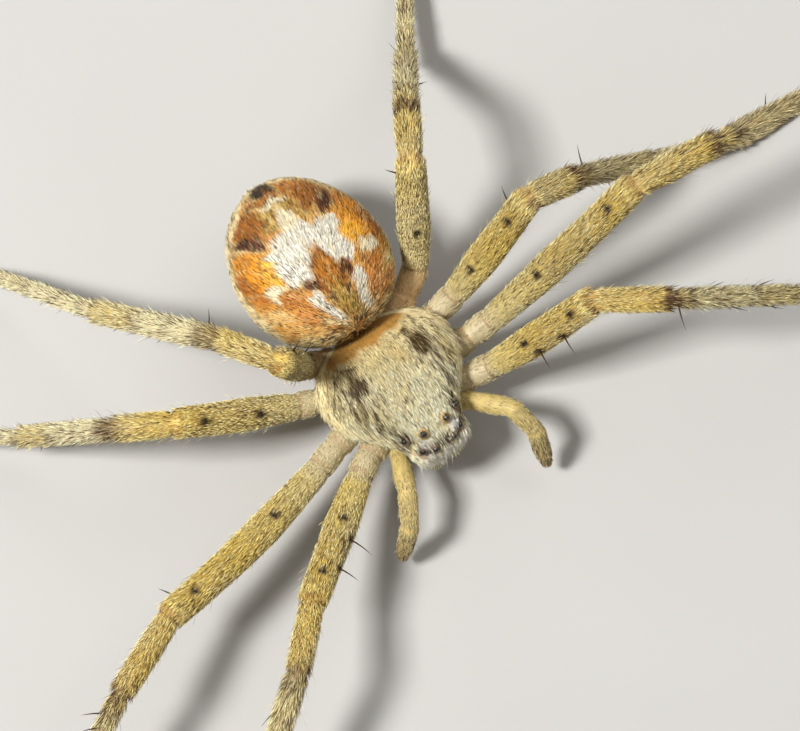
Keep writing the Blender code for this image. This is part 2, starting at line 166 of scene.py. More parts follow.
# Eye rims, lip and the plates beside the mouth: low domes of the same cuticle. The
# eight eyes stand in two rows, each in a raised rim that grows out of the head.
# Place, radius and outlook of the eyes of one side
EYES = {
    "pme": (0.255, -0.94, 1.95, 0.066, (0.35, -0.45, 1.0)),
    "ple": (0.57, -0.80, 1.72, 0.066, (1.0, -0.1, 0.75)),
    "ame": (0.20, -1.24, 1.68, 0.062, (0.25, -1.0, 0.45)),
    "ale": (0.40, -1.14, 1.66, 0.066, (0.8, -0.9, 0.4)),
}
RIM_RADIUS, RIM_HEIGHT, RIM_DEPTH = 0.108, 0.060, 0.02
MAXILLA_AT, MAXILLA_SIZE, MAXILLA_TURN = (0.17, -0.77, 0.87), (0.09, 0.19, 0.09), 14.0
LIP_AT, LIP_SIZE = (0.0, -0.60, 0.83), (0.09, 0.11, 0.07)
SIDES = (("left", 1), ("right", -1))


def dome_shell(name, centre, size, way=(0.0, 0.0, 1.0), turn=0.0, count=14, sides=24):
    """A small ball or ellipsoid whose third axis looks along a way."""
    a = math.pi * (np.arange(count) + 0.5) / count
    b = 2 * math.pi * np.arange(sides) / sides
    ball = np.stack([np.outer(np.sin(a), np.cos(b)), np.outer(np.sin(a), np.sin(b)),
                     np.outer(np.cos(a), np.ones(sides))], axis=2) * size
    ball = turned(ball, turn)
    frame_of = np.array(Vector(way).to_track_quat("Z", "Y").to_matrix())
    shell(name, turned(ball @ frame_of.T + centre, HEAD_TURN), np.linspace(0, 1, count))


dome_shell("front", LIP_AT, LIP_SIZE)
eye_spots = []
for word, side in SIDES:
    x, y, z = MAXILLA_AT
    dome_shell("front", (x * side, y, z), MAXILLA_SIZE, turn=MAXILLA_TURN * side)
    for kind, (x, y, z, radius, look) in EYES.items():
        spot = np.array((x * side, y, z))
        way = Vector((look[0] * side, look[1], look[2])).normalized()
        eye_spots.append((kind, spot, way, radius))
        dome_shell("rim", spot - np.array(way) * RIM_DEPTH, (RIM_RADIUS, RIM_RADIUS, RIM_HEIGHT), way)

# Hind body: a soft egg with a thin stretched skin, flattened above and below, with
# spinnerets and the knob over them at its rear end.
ABDOMEN_LENGTH = 3.34
ABDOMEN_FRONT = (0.0, 1.28, 0.0)
ABDOMEN_TURN = 3.4
ABDOMEN_AXIS_Z = (1.86, 1.78)
ABDOMEN_HALF_WIDTH, ABDOMEN_TOP, ABDOMEN_UNDER = 1.455, 2.92, 0.52
ABDOMEN_FORE_SWELL = 0.10
ABDOMEN_RINGS, ABDOMEN_SIDES = 168, 172
# Place, length and radius of each pair of spinnerets, and of the knob in the middle
SPINNERETS = ((0.15, 3.02, 1.22, 0.40, 0.11), (0.13, 3.10, 1.38, 0.36, 0.08))
ANAL_KNOB = (3.20, 1.53, 0.26, 0.09)
# Share of the way along a stub and its thickness there
STUB_STATIONS = ((0, 1), (0.25, 1), (0.5, 0.9), (0.54, 0.8), (0.8, 0.72), (0.93, 0.55), (1.0, 0.25))


def hind_ring(share):
    """Cross-section of the hind body at a share of its way round from front to back."""
    along, swell = (1 - math.cos(math.pi * share)) / 2, math.sin(math.pi * share)
    axis = ABDOMEN_AXIS_Z[0] * (1 - along) + ABDOMEN_AXIS_Z[1] * along
    above = (ABDOMEN_TOP - COAT_DEPTH - axis) * swell ** 0.8
    below = (axis - ABDOMEN_UNDER - COAT_DEPTH) * swell ** (2.0 - 1.2 * along)
    wide = (ABDOMEN_HALF_WIDTH - COAT_DEPTH) * swell ** 0.92 * (1 + ABDOMEN_FORE_SWELL * (1 - 2 * along))
    a = 2 * math.pi * (np.arange(ABDOMEN_SIDES) / ABDOMEN_SIDES + 0.25)
    height = np.where(np.sin(a) > 0, above, below) * np.sin(a)
    y = COAT_DEPTH + (ABDOMEN_LENGTH - 2 * COAT_DEPTH) * along
    fold = 0.012 * np.sin(9 * y + 4 * np.cos(a)) * clamp(-np.sin(a) + 0.3) * swell
    return np.stack([(wide + fold) * np.cos(a), np.full_like(a, y), axis + height], axis=1)


def hind_place(points):
    """Brings points of the hind body from its own front end to the animal."""
    return turned(np.asarray(points) + ABDOMEN_FRONT, ABDOMEN_TURN, ABDOMEN_FRONT)


shares = (np.arange(ABDOMEN_RINGS) + 0.5) / ABDOMEN_RINGS
shell("hind", hind_place([hind_ring(share) for share in shares]), shares)


def round_rings(path, radii, first, second, sides):
    """Round rings along a path; the first way across it is at turn 0, the second at 0.25."""
    a = (2 * math.pi * np.arange(sides) / sides)[:, None]
    first, second = np.reshape(first, (-1, 1, 3)), np.reshape(second, (-1, 1, 3))
    return path[:, None] + radii[:, None, None] * (first * np.cos(a) + second * np.sin(a))


def stub(name, start, end, radius, place, sides=20):
    """A short blunt cone, such as a spinneret."""
    start, end = Vector(start), Vector(end)
    out = (end - start).normalized()
    side = out.cross(Vector((0.0, 0.0, 1.0))).normalized()
    path = np.array([tuple(start.lerp(end, t)) for t, share in STUB_STATIONS])
    radii = radius * np.array([share for t, share in STUB_STATIONS])
    rings = round_rings(path, radii, side, side.cross(out), sides)
    shell(name, place(rings), np.linspace(0.9, 1.0, len(rings)))


y, z, length, radius = ANAL_KNOB
stub("spinner", (0, y, z), (0, y + length, z - 0.1), radius, hind_place)
for word, side in SIDES:
    for x, y, z, length, radius in SPINNERETS:
        stub("spinner", (x * side, y, z), (0.8 * x * side, y + length, z), radius, hind_place)

# Legs: eight limbs of seven tubes of thin cuticle, from the pale hip to the foot and
# narrowed at every joint. Each femur is thickest near its middle and each foot ends
# in a level pad.
# Lengths of femur, knee, shin, upper foot and foot of each pair
SEGMENTS = {
    1: (2.75, 1.45, 2.70, 2.50, 1.35),
    2: (4.00, 1.72, 3.50, 3.20, 1.60),
    3: (2.55, 1.12, 2.30, 2.05, 1.15),
    4: (2.62, 1.30, 2.75, 2.40, 1.20),
}
# Radius of the cuticle past a joint, at the thickest place and before the next joint
BANDS = (
    (0.228, 0.250, 0.256),
    (0.240, 0.250, 0.240),
    (0.236, 0.290, 0.256),
    (0.232, 0.246, 0.228),
    (0.198, 0.202, 0.186),
    (0.165, 0.160, 0.146),
    (0.112, 0.108, 0.085),
)
# Thickness of knee, shin and upper foot of each leg against the bands above
LEAN = {
    "leg_left_1": (0.84, 0.78, 0.82),
    "leg_left_2": (0.94, 0.72, 0.78),
    "leg_left_3": (0.96, 0.86, 0.82),
    "leg_left_4": (0.90, 0.90, 0.82),
    "leg_right_1": (0.86, 0.95, 0.86),
    "leg_right_2": (0.88, 0.78, 0.82),
    "leg_right_3": (0.92, 0.88, 0.68),
    "leg_right_4": (0.84, 0.96, 0.78),
}
THICKEST_AT = (0.5, 0.5, 0.40, 0.45, 0.30, 0.30, 0.40)
HIP_LENGTH = 0.45
HIP_PINCH, JOINT_PINCH, JOINT_REACH, JOINT_LIP = 0.92, 0.90, 0.13, 0.03
# How far a femur bows to the front
FEMUR_BOW = {
    "leg_left_1": 0.03,
    "leg_left_2": 0.03,
    "leg_left_3": 0.02,
    "leg_right_2": 0.08,
    "leg_right_3": 0.02,
}
# Radius and least reach of the bends of a leg, and the longest step along it
LEG_BENDS, LEG_SIDES = (0.34, 0.12, 0.09), 26
FOOT_HEIGHT, PAD_LENGTH, FLOOR_GAP = 0.085, 0.22, 0.004
# Start, end of the hip and start of the femur, then the heading and pitch of each
# further tube and the heading of the foot
LEGS = {
    "leg_left_1": ((0.80, -0.34, 1.02), (1.20, -0.37, 1.12), (1.64, -0.46, 1.25),
                   ((-12.6, 45.8), (-35, 8), (-24.5, -28), (-23.5, -37), -24)),
    "leg_left_2": ((0.84, 0.20, 1.02), (1.60, 0.25, 1.12), (2.09, 0.25, 1.25),
                   ((1.7, 37.9), (-5.5, 1), (-1.5, -22), (0, -32), 0)),
    "leg_left_3": ((0.78, 0.74, 1.02), (1.36, 0.95, 1.12), (1.81, 1.02, 1.25),
                   ((11.6, 41.1), (-4.3, -22.9), (-5.6, -45.3), (-15, -19), -3)),
    "leg_left_4": ((0.44, 1.16, 1.02), (1.10, 1.56, 1.10), (1.57, 1.87, 1.20),
                   ((60, 58), (59, -18), (56, -55), (56, -13), 56)),
    "leg_right_1": ((-0.74, -0.42, 1.02), (-1.10, -0.55, 1.12), (-1.49, -0.80, 1.25),
                    ((-143.1, 17.1), (-134.5, 17), (-143, -15), (-141, -33), -141)),
    "leg_right_2": ((-0.84, 0.10, 1.02), (-1.50, -0.08, 1.12), (-2.02, -0.27, 1.25),
                    ((-166.9, 11.1), (-154.5, 10), (-151.5, -12), (-150.5, -26), -150)),
    "leg_right_3": ((-0.80, 0.66, 1.02), (-1.32, 0.80, 1.12), (-1.70, 0.91, 1.25),
                    ((161.3, 27.8), (148.7, -9.1), (139.7, -37.8), (143, -10), 143)),
    "leg_right_4": ((-0.46, 1.16, 1.02), (-0.84, 1.36, 1.08), (-1.17, 1.46, 1.20),
                    ((-160, 75), (122, -13), (125, -28.5), (116.5, -35), 117)),
}
limbs = {}


def direction(heading, pitch):
    """Unit vector for a heading in the ground plane and a pitch above it."""
    turn, rise = math.radians(heading), math.radians(pitch)
    flat = math.cos(rise)
    return Vector((flat * math.cos(turn), flat * math.sin(turn), math.sin(rise)))


def bent_path(corners, bend, least, step):
    """Points along runs joined by arcs, no further apart than step. Mark 1.5 is
    halfway between corners 1 and 2."""
    corners = [Vector(corner) for corner in corners]
    points, marks = [corners[0]], [0.0]
    for k in range(1, len(corners) - 1):
        before = corners[k] - corners[k - 1]
        after = corners[k + 1] - corners[k]
        angle = before.angle(after)
        reach = min(0.45 * min(before.length, after.length), max(least, bend * math.tan(angle / 2)))
        start = corners[k] - before.normalized() * reach
        end = corners[k] + after.normalized() * reach
        for i in range(9):
            t = i / 8
            points.append(start * (1 - t) ** 2 + corners[k] * 2 * t * (1 - t) + end * t * t)
            marks.append(k + (2 * t - 1) * reach / (before.length if t < 0.5 else after.length))
    points.append(corners[-1])
    marks.append(float(len(corners) - 1))
    path, where = [points[0]], [marks[0]]
    for k in range(1, len(points)):
        cuts = max(1, math.ceil((points[k] - points[k - 1]).length / step))
        for i in range(1, cuts + 1):
            path.append(points[k - 1].lerp(points[k], i / cuts))
            where.append(marks[k - 1] + (marks[k] - marks[k - 1]) * i / cuts)
    return path, where


def unit(vectors):
    """The same ways with a length of one."""
    return vectors / np.linalg.norm(vectors, axis=1)[:, None]


def limb_shell(name, path, marks, radii, forward, sides):
    """A tube round a path, rounded off at its tip and kept above the floor. Turn 0 is
    its upper side and 0.25 its front side."""
    path = np.array([tuple(point) for point in path])
    ways = unit(np.gradient(path, axis=0))
    ups = unit(np.array([0.0, 0.0, 1.0]) - ways * ways[:, 2:3])
    fronts = np.cross(ways, ups) * forward
    rings = round_rings(path, radii, ups, fronts, sides)
    tip = path[-1] + ways[-1] * radii[-1] * np.array([0.5, 0.8])[:, None]
    caps = [tip[i] + (rings[-1] - path[-1]) * share for i, share in enumerate((0.8, 0.45))]
    rings = np.concatenate([rings, caps])
    rings[:, :, 2] = np.maximum(rings[:, :, 2], FLOOR_GAP)
    run = np.append(marks, [marks[-1]] * 2)
    limbs[name] = path, ways, ups, fronts, np.array(marks), radii
    shell(name, rings, run)


for name, (start, hip_end, femur_start, ways) in LEGS.items():
    pair = int(name[-1])
    corners = [Vector(start), Vector(hip_end), Vector(femur_start)]
    for length, (turn, pitch) in zip(SEGMENTS[pair][:-1], ways[:-1]):
        corners.append(corners[-1] + direction(turn, pitch) * length)
    slope = SEGMENTS[pair][-1] - PAD_LENGTH
    pitch = math.degrees(math.asin((FOOT_HEIGHT - corners[-1].z) / slope))
    corners.append(corners[-1] + direction(ways[-1], pitch) * slope)
    corners.append(corners[-1] + direction(ways[-1], 0.0) * PAD_LENGTH)
    path, marks = bent_path(corners, *LEG_BENDS)
    forward = math.copysign(1.0, start[0])
    bow = direction(ways[0][0] - 90.0, 0.0) * forward * FEMUR_BOW.get(name, 0.0)
    for k, mark in enumerate(marks):
        if 2.0 < mark < 3.0:
            path[k] = path[k] + bow * math.sin(math.pi * (mark - 2.0))
    at, radii = [], []
    lengths = (HIP_LENGTH, HIP_LENGTH) + SEGMENTS[pair]
    for k, (length, band, swell) in enumerate(zip(lengths, BANDS, THICKEST_AT)):
        pinch = HIP_PINCH if k < 3 else JOINT_PINCH
        lean = LEAN[name][k - 3] if 3 <= k < 6 else 1.0
        band = tuple(radius * lean for radius in band)
        lip = JOINT_LIP / length
        at += [k + lip, k + JOINT_REACH / length, k + swell, k + 1 - 2 * lip, k + 1 - lip]
        radii += [band[0] * pinch, band[0], band[1], band[2] * 1.02, band[2]]
    at += [len(BANDS), len(BANDS) + 1]
    radii += [BANDS[-1][2], BANDS[-1][2]]
    limb_shell(name, path, marks, np.interp(marks, at, radii), forward, LEG_SIDES)

# Palps: the two short feelers beside the jaws, tubes of pale thin cuticle. Each is
# jointed like a leg, rises from the mouth and bends down at its elbow.
PALP_MARKS = (0.0, 1.0, 1.08, 1.6, 2.0, 2.08, 3.0, 3.06, 3.7, 4.0)
PALP_RADII = (0.150, 0.175, 0.16, 0.185, 0.160, 0.175, 0.150, 0.165, 0.150, 0.095)
PALP_BENDS, PALP_SIDES = (0.25, 0.10, 0.09), 22
PALPS = {
    "palp_left": ((0.62, -0.60, 1.02), (0.95, -0.72, 1.10), (1.48, -1.35, 1.43),
                  (1.62, -1.90, 1.23), (1.55, -2.38, 0.55)),
    "palp_right": ((-0.55, -0.66, 1.02), (-0.68, -0.86, 1.10), (-0.98, -1.57, 1.40),
                   (-1.27, -2.08, 1.20), (-1.60, -2.34, 0.50)),
}
for name, corners in PALPS.items():
    path, marks = bent_path(corners, *PALP_BENDS)
    radii = np.interp(marks, PALP_MARKS, PALP_RADII)
    limb_shell(name, path, marks, radii, math.copysign(1.0, corners[0][0]), PALP_SIDES)

# Jaws: two stout upright limbs of hard cuticle under the face, which taper downward.
# The fangs at their lower ends are darker and are made further down.
JAW_PATH = ((0.20, -1.10, 1.10), (0.20, -1.22, 0.92), (0.19, -1.20, 0.68), (0.16, -1.12, 0.53))
JAW_MARKS, JAW_RADII = (0, 1, 1.5, 2.4, 3), (0.14, 0.15, 0.15, 0.11, 0.06)
JAW_BENDS = (0.20, 0.08, 0.05)


def mouth_tube(name, corners, side, bends, at, radii, sides):
    """A jaw or fang on one side: an upright tube through corners, thinned by marks."""
    corners = turned([(x * side, y, z) for x, y, z in corners], HEAD_TURN)
    path, marks = bent_path([tuple(corner) for corner in corners], *bends)
    radii = np.interp(marks, at, radii)
    path = np.array([tuple(point) for point in path])
    ways = unit(np.gradient(path, axis=0))
    across = unit(np.cross(ways, (0.0, 1.0, 0.0)))
    rings = round_rings(path, radii, across, np.cross(ways, across), sides)
    shell(name, rings, np.linspace(0, 1, len(path)))


for word, side in SIDES:
    mouth_tube("jaw", JAW_PATH, side, JAW_BENDS, JAW_MARKS, JAW_RADII, PALP_SIDES)

# Skin: all the parts above grown into one closed cuticle, thin and slightly waxy. Its
# pattern lies in the skin and in the bristles alike; the marks are in real millimetres.
# Colours are from 0 to 255. The bristles of the hind body part from one whorl in front.
WHORL = (-0.05, 0.03, 2.08)
MIDLINE, SHEAR = 0.02, 0.12
CREAM, WHITE, BONE = (224, 210, 158), (219, 213, 197), (224, 212, 176)
ORANGE, BRIGHT, AMBER, RUST = (222, 148, 34), (246, 184, 52), (206, 152, 66), (178, 106, 30)
BROWN, DARK_RED, OLIVE, SOOT = (152, 92, 24), (84, 36, 8), (172, 140, 64), (48, 34, 16)
PEACH, UMBER, PALE_BRISTLE = (204, 132, 60), (92, 62, 34), (250, 238, 186)
# Dark patches of the front body: place to either side, half lengths, turn and depth
DARK_PATCHES = (
    ((0.70, 0.42), (0.17, 0.23), -8, 1.0), ((0.66, 0.70), (0.07, 0.16), 0, 0.7),
    ((0.60, 0.84), (0.15, 0.04), 24, 0.9), ((0.92, 0.52), (0.03, 0.20), 0, 0.6),
    ((0.84, 0.08), (0.05, 0.20), 12, 0.8), ((0.78, -0.33), (0.06, 0.26), 10, 0.7),
    ((0.64, -0.66), (0.05, 0.20), 8, 0.8), ((1.02, 0.10), (0.04, 0.20), 10, 0.6),
    ((1.10, 0.45), (0.04, 0.16), 0, 0.5), ((0.88, 0.86), (0.05, 0.10), -20, 0.6),
    ((0.98, -0.14), (0.04, 0.14), 14, 0.5), ((0.62, -0.02), (0.03, 0.12), 10, 0.5),
)
# Marks of the hind body: colour, place to either side, half lengths, turn, edge, depth
HIND_MARKS = (
    (CREAM, (0.62, 0.50), (0.60, 0.45), 0, 0.8, 0.2),
    (AMBER, (0.74, 0.84), (0.26, 0.28), -20, 0.4, 0.9),
    (RUST, (0.80, 0.96), (0.16, 0.16), 0, 0.8, 0.8),
    (PEACH, (0.62, 0.60), (0.32, 0.24), 0, 0.8, 0.8),
    (RUST, (1.20, 1.72), (0.20, 0.50), 0, 0.4, 0.9),
    (ORANGE, (0.90, 1.66), (0.31, 0.40), 0, 0.3, 1.0),
    (BRIGHT, (0.80, 1.58), (0.20, 0.26), 0, 0.6, 0.9),
    (ORANGE, (1.00, 2.02), (0.28, 0.18), 20, 0.4, 0.9),
    (WHITE, (0.38, 1.60), (0.27, 0.46), -8, 0.3, 1.0),
    (WHITE, (0.0, 1.88), (0.40, 0.28), 0, 0.3, 1.0),
    (WHITE, (0.52, 1.32), (0.20, 0.24), 0, 0.3, 1.0),
    (BONE, (0.02, 2.28), (0.18, 0.24), 0, 0.5, 0.9),
    (OLIVE, (0.34, 2.33), (0.17, 0.17), 0, 0.4, 1.0),
    (BROWN, (0.60, 2.56), (0.36, 0.26), 0, 0.4, 1.0),
    (OLIVE, (0.20, 2.56), (0.18, 0.12), 0, 0.5, 0.9),
    (BONE, (0.05, 2.72), (0.22, 0.08), 0, 0.5, 0.9),
    (BROWN, (0.0, 2.90), (0.50, 0.10), 0, 0.5, 0.9),
    (DARK_RED, (0.78, 2.30), (0.27, 0.14), 48, 0.35, 1.0),
    (WHITE, (0.64, 1.88), (0.13, 0.11), 0, 0.3, 1.0),
    (BONE, (0.96, 1.24), (0.15, 0.14), 0, 0.3, 1.0),
    (WHITE, (0.34, 0.46), (0.08, 0.28), -18, 0.6, 0.9),
    (BROWN, (0.0, 0.94), (0.42, 0.24), 0, 0.25, 1.0),
    (BROWN, (0.0, 1.22), (0.21, 0.32), 0, 0.25, 1.0),
    (ORANGE, (0.0, 1.12), (0.12, 0.30), 0, 0.9, 0.35),
    (DARK_RED, (0.36, 1.00), (0.13, 0.12), 30, 0.35, 1.0),
    (WHITE, (0.44, 0.74), (0.14, 0.14), 0, 0.3, 1.0),
    (OLIVE, (0.0, 0.50), (0.19, 0.34), 0, 0.5, 0.9),
    (DARK_RED, (0.17, 0.66), (0.06, 0.09), 0, 0.6, 0.7),
    (SOOT, (0.02, 3.10), (0.24, 0.15), 0, 0.4, 1.0),
)


def linear(colour):
    """A colour read from 0 to 255 as the light it reflects."""
    return ((np.array(colour, float) / 255 + 0.055) / 1.055) ** 2.4


def ripple(a, b, seed):
    """An uneven wave between about -1 and 1 over two coordinates."""
    total = 0.0
    for k in range(4):
        way, pace = seed * 1.7 + k * 2.4, 1 + 0.7 * k
        total = total + np.sin(pace * (a * math.cos(way) + b * math.sin(way)) + seed * (k + 1.3)) / pace
    return total / 1.9


def blot(x, y, middle, size, turn=0.0, soft=0.3):
    """Share of a soft oval spot at each place."""
    c, s = math.cos(math.radians(turn)), math.sin(math.radians(turn))
    dx, dy = x - middle[0], y - middle[1]
    far = np.hypot((dx * c + dy * s) / size[0], (dy * c - dx * s) / size[1])
    return clamp((1 - far) / soft + 0.5)


def stripe(off, half):
    """Share of a soft stripe at each distance off its middle."""
    return clamp(1.5 - np.abs(off) / half)


def over(tint, colour, share):
    """Lays a colour over a tint where its share says."""
    return tint + (linear(colour) - tint) * np.asarray(share)[:, None]


def shell_mesh(part):
    """A mesh of one closed shell, facing outward."""
    mesh = bpy.data.meshes.new(part["name"])
    mesh.from_pydata(part["points"].tolist(), [], part["faces"])
    work = bmesh.new()
    work.from_mesh(mesh)
    if work.calc_volume(signed=True) < 0:
        bmesh.ops.reverse_faces(work, faces=work.faces)
    work.to_mesh(mesh)
    work.free()
    return mesh


def shell_object(part, collection):
    """An object of one closed shell, put into a collection."""
    made = bpy.data.objects.new(part["name"], shell_mesh(part))
    collection.objects.link(made)
    return made


def plain_mesh(maker, name):
    """The evaluated shape of an object as a mesh of its own; the object goes."""
    bpy.context.view_layer.update()
    evaluated = maker.evaluated_get(bpy.context.evaluated_depsgraph_get())
    mesh = bpy.data.meshes.new_from_object(evaluated)
    mesh.name = name
    bpy.data.objects.remove(maker)
    return mesh


def read_points(mesh, field):
    """Places or normals of the mesh's points."""
    values = np.empty(len(mesh.vertices) * 3)
    mesh.vertices.foreach_get(field, values)
    return values.reshape(-1, 3)


bench = bpy.context.scene.collection
others = bpy.data.collections.new("parts to fuse")
bench.children.link(others)
for part in shells[1:]:
    shell_object(part, others)
trunk = shell_object(shells[0], bench)
fuse = trunk.modifiers.new("fuse", "BOOLEAN")
fuse.operation, fuse.solver = "UNION", "MANIFOLD"
fuse.operand_type, fuse.collection = "COLLECTION", others
skin_mesh = plain_mesh(trunk, "skin")
for made in list(others.objects):
    bpy.data.objects.remove(made)
bpy.data.collections.remove(others)

# Each point of the skin takes after the nearest point of the parts it was fused from
part_names = np.array([part["name"] for part in shells])
part_points, part_turns, part_runs = (
    np.concatenate([part[key] for part in shells]) for key in ("points", "turn", "run"))
nearby = kdtree.KDTree(len(part_points))
for index, point in enumerate(part_points):
    nearby.insert(point, index)
nearby.balance()
spots, normals = read_points(skin_mesh, "co"), read_points(skin_mesh, "normal")
count = len(spots)
nearest = [nearby.find(spot)[1] for spot in spots]
owner = np.repeat(np.arange(len(shells)), [len(part["points"]) for part in shells])[nearest]
turn_of, run_of, part_of = part_turns[nearest], part_runs[nearest], part_names[owner]

# Tints of the shield, the head and the bald slope behind, then of the bristles there. The bald slope's
# tints are its own orange-tan, darkened with painted shade from the hind body above it.
SAND, HONEY, SHADED_SLOPE, PATCH_BROWN = (196, 172, 112), (202, 172, 92), (158, 116, 54), (84, 63, 25)
RIM_CREAM, EYE_BROWN_AND_SHADOW, CHEEK_PINK = (222, 206, 158), (58, 38, 28), (205, 150, 120)
IVORY, GOLD, WHEAT, MILK = (253, 243, 206), (220, 192, 112), (222, 198, 136), (250, 244, 216)
SNOW, DUSK, SHADED_SLOPE_TAN, BEARD_WHITE = (255, 250, 240), (116, 91, 42), (186, 148, 76), (252, 244, 228)


def paint_front(points):
    """Tint of the front body, tint of its pale bristles, share of dark ones and how
    thickly they grow."""
    x, y, z = turned(points, -HEAD_TURN).T
    side, station = np.abs(x), np.clip(y, FRONT_Y[0], FRONT_Y[-1])
    margin, wide = smooth_profile(station, FRONT_MARGIN), smooth_profile(station, FRONT_WIDE)
    top = clamp((z - margin + 0.03) / 0.05)
    bent_x, bent_y = side + 0.04 * ripple(x * 8, y * 4, 3), y + 0.06 * ripple(x * 10, y * 5, 5)
    tint = np.tile(linear(CREAM), (len(x), 1))
    tint = over(tint, SAND, np.clip(ripple(x * 13, y * 4, 1) * 0.6 + 0.15, 0, 0.7))
    tint = over(tint, HONEY, blot(bent_x, bent_y, (0.0, 0.15), (0.30, 0.45), soft=1.2) * 0.6)
    dark = np.zeros(len(x))
    for middle, size, turn, depth in DARK_PATCHES:
        dark = np.maximum(dark, blot(bent_x, bent_y, middle, size, turn, 0.45) * depth)
    outer = clamp((side - 0.45) / 0.2)
    streaks = clamp(ripple(x * 30, y * 9, 13) * 2.2 - 1.0) * (0.2 + 0.5 * outer)
    dark = np.maximum(dark, streaks) * top * clamp((wide - side - 0.14) / 0.08)
    halo = blot(bent_x, bent_y, (0.74, 0.30), (0.30, 0.36), -10, 0.4) * (1 - dark) * top
    tint = over(over(tint, BONE, halo * 0.8), PATCH_BROWN, dark * 0.97)
    hairline = 0.83 + 0.12 * side ** 2 + 0.08 * ripple(x * 17, y * 3, 6)
    bald = clamp((y - hairline) / 0.20) * top * clamp((1.12 - side) / 0.3)
    # the bald slope: orange-tan cuticle, darkened as painted shade under the hind body
    tint = over(tint, SHADED_SLOPE, bald)
    rim_width = 0.17 + 0.10 * clamp((y - 0.4) / 0.5) - 0.06 * clamp(-0.4 - y)
    rim = clamp((side - wide + rim_width) / 0.06) * (y > -1.0) * top
    tint = over(tint, RIM_CREAM, rim * 0.9)
    tint = over(tint, BONE, (1 - top) * 0.6)
    face = blot(side, y, (0.34, -1.10), (0.14, 0.10), soft=0.4) * top
    # A dark band along the front eye row: partly the dark eyes, partly painted shadow under the row. The
    # brow spot by the side eyes is the cuticle's own brown.
    band = stripe(z - 1.66 + 0.08 * ripple(x * 9, z * 9, 2), 0.07)
    band = band * (y < -1.02) * (side < 0.62) * top
    brow = blot(side, y, (0.60, -0.84), (0.14, 0.17), soft=0.5) * top
    tint = over(over(tint, WHITE, face * 0.6), EYE_BROWN_AND_SHADOW, np.maximum(band * 0.9, brow * 0.8))
    cheek = blot(side, z, (0.52, 1.52), (0.13, 0.09), soft=0.5) * (y < -1.0)
    tint = over(tint, CHEEK_PINK, cheek * 0.7)
    pale = np.tile(linear(IVORY), (len(x), 1))
    golden = np.clip(ripple(x * 6, y * 6, 8) * 0.6 + 0.1, 0, 0.8) * np.clip(y + 1.1, 0.2, 1)
    pale = over(pale, GOLD, golden)
    pale = over(pale, WHEAT, clamp((y - 0.1) / 0.5) * 0.6)
    pale = over(pale, MILK, blot(side, y, (0.0, -0.80), (0.62, 0.60), soft=0.8) * 0.7)
    pale = over(over(over(pale, SNOW, face), BONE, halo * 0.6), DUSK, dark * 0.85)
    # bristles at the bald slope, also darkened as painted shade
    pale = over(pale, SHADED_SLOPE_TAN, bald)
    # dark bristles also crowd into the painted eye-row shadow
    share = np.clip(0.035 + 0.07 * (side > 0.4) + dark * 0.6 + band * 0.6 + brow * 0.5, 0, 0.9)
    beard = blot(side, y, (0.0, -1.45), (0.7, 0.30), soft=0.5) * (z < 1.62)
    pale, share = over(pale, BEARD_WHITE, beard * 0.85), share * (1 - 0.6 * beard)
    near = np.ones(len(x))
    for eye_spot in eye_spots:
        far = np.linalg.norm(np.stack([x, y, z], axis=1) - eye_spot[1], axis=1)
        near = np.minimum(near, clamp((far - 0.085) / 0.02))
    growth = top * (1 - 0.92 * bald) * (1 - 0.7 * rim) * near + (1 - top) * 0.3
    return tint, pale, share, growth


# Further tints of the hind body: fine mottle, fine cream streaks, flanks
CINNAMON, BUTTER, STRAW_LIGHT = (146, 82, 26), (232, 206, 140), (250, 226, 150)
FLANK_CREAM, FLANK_GREY = (224, 202, 152), (158, 142, 122)


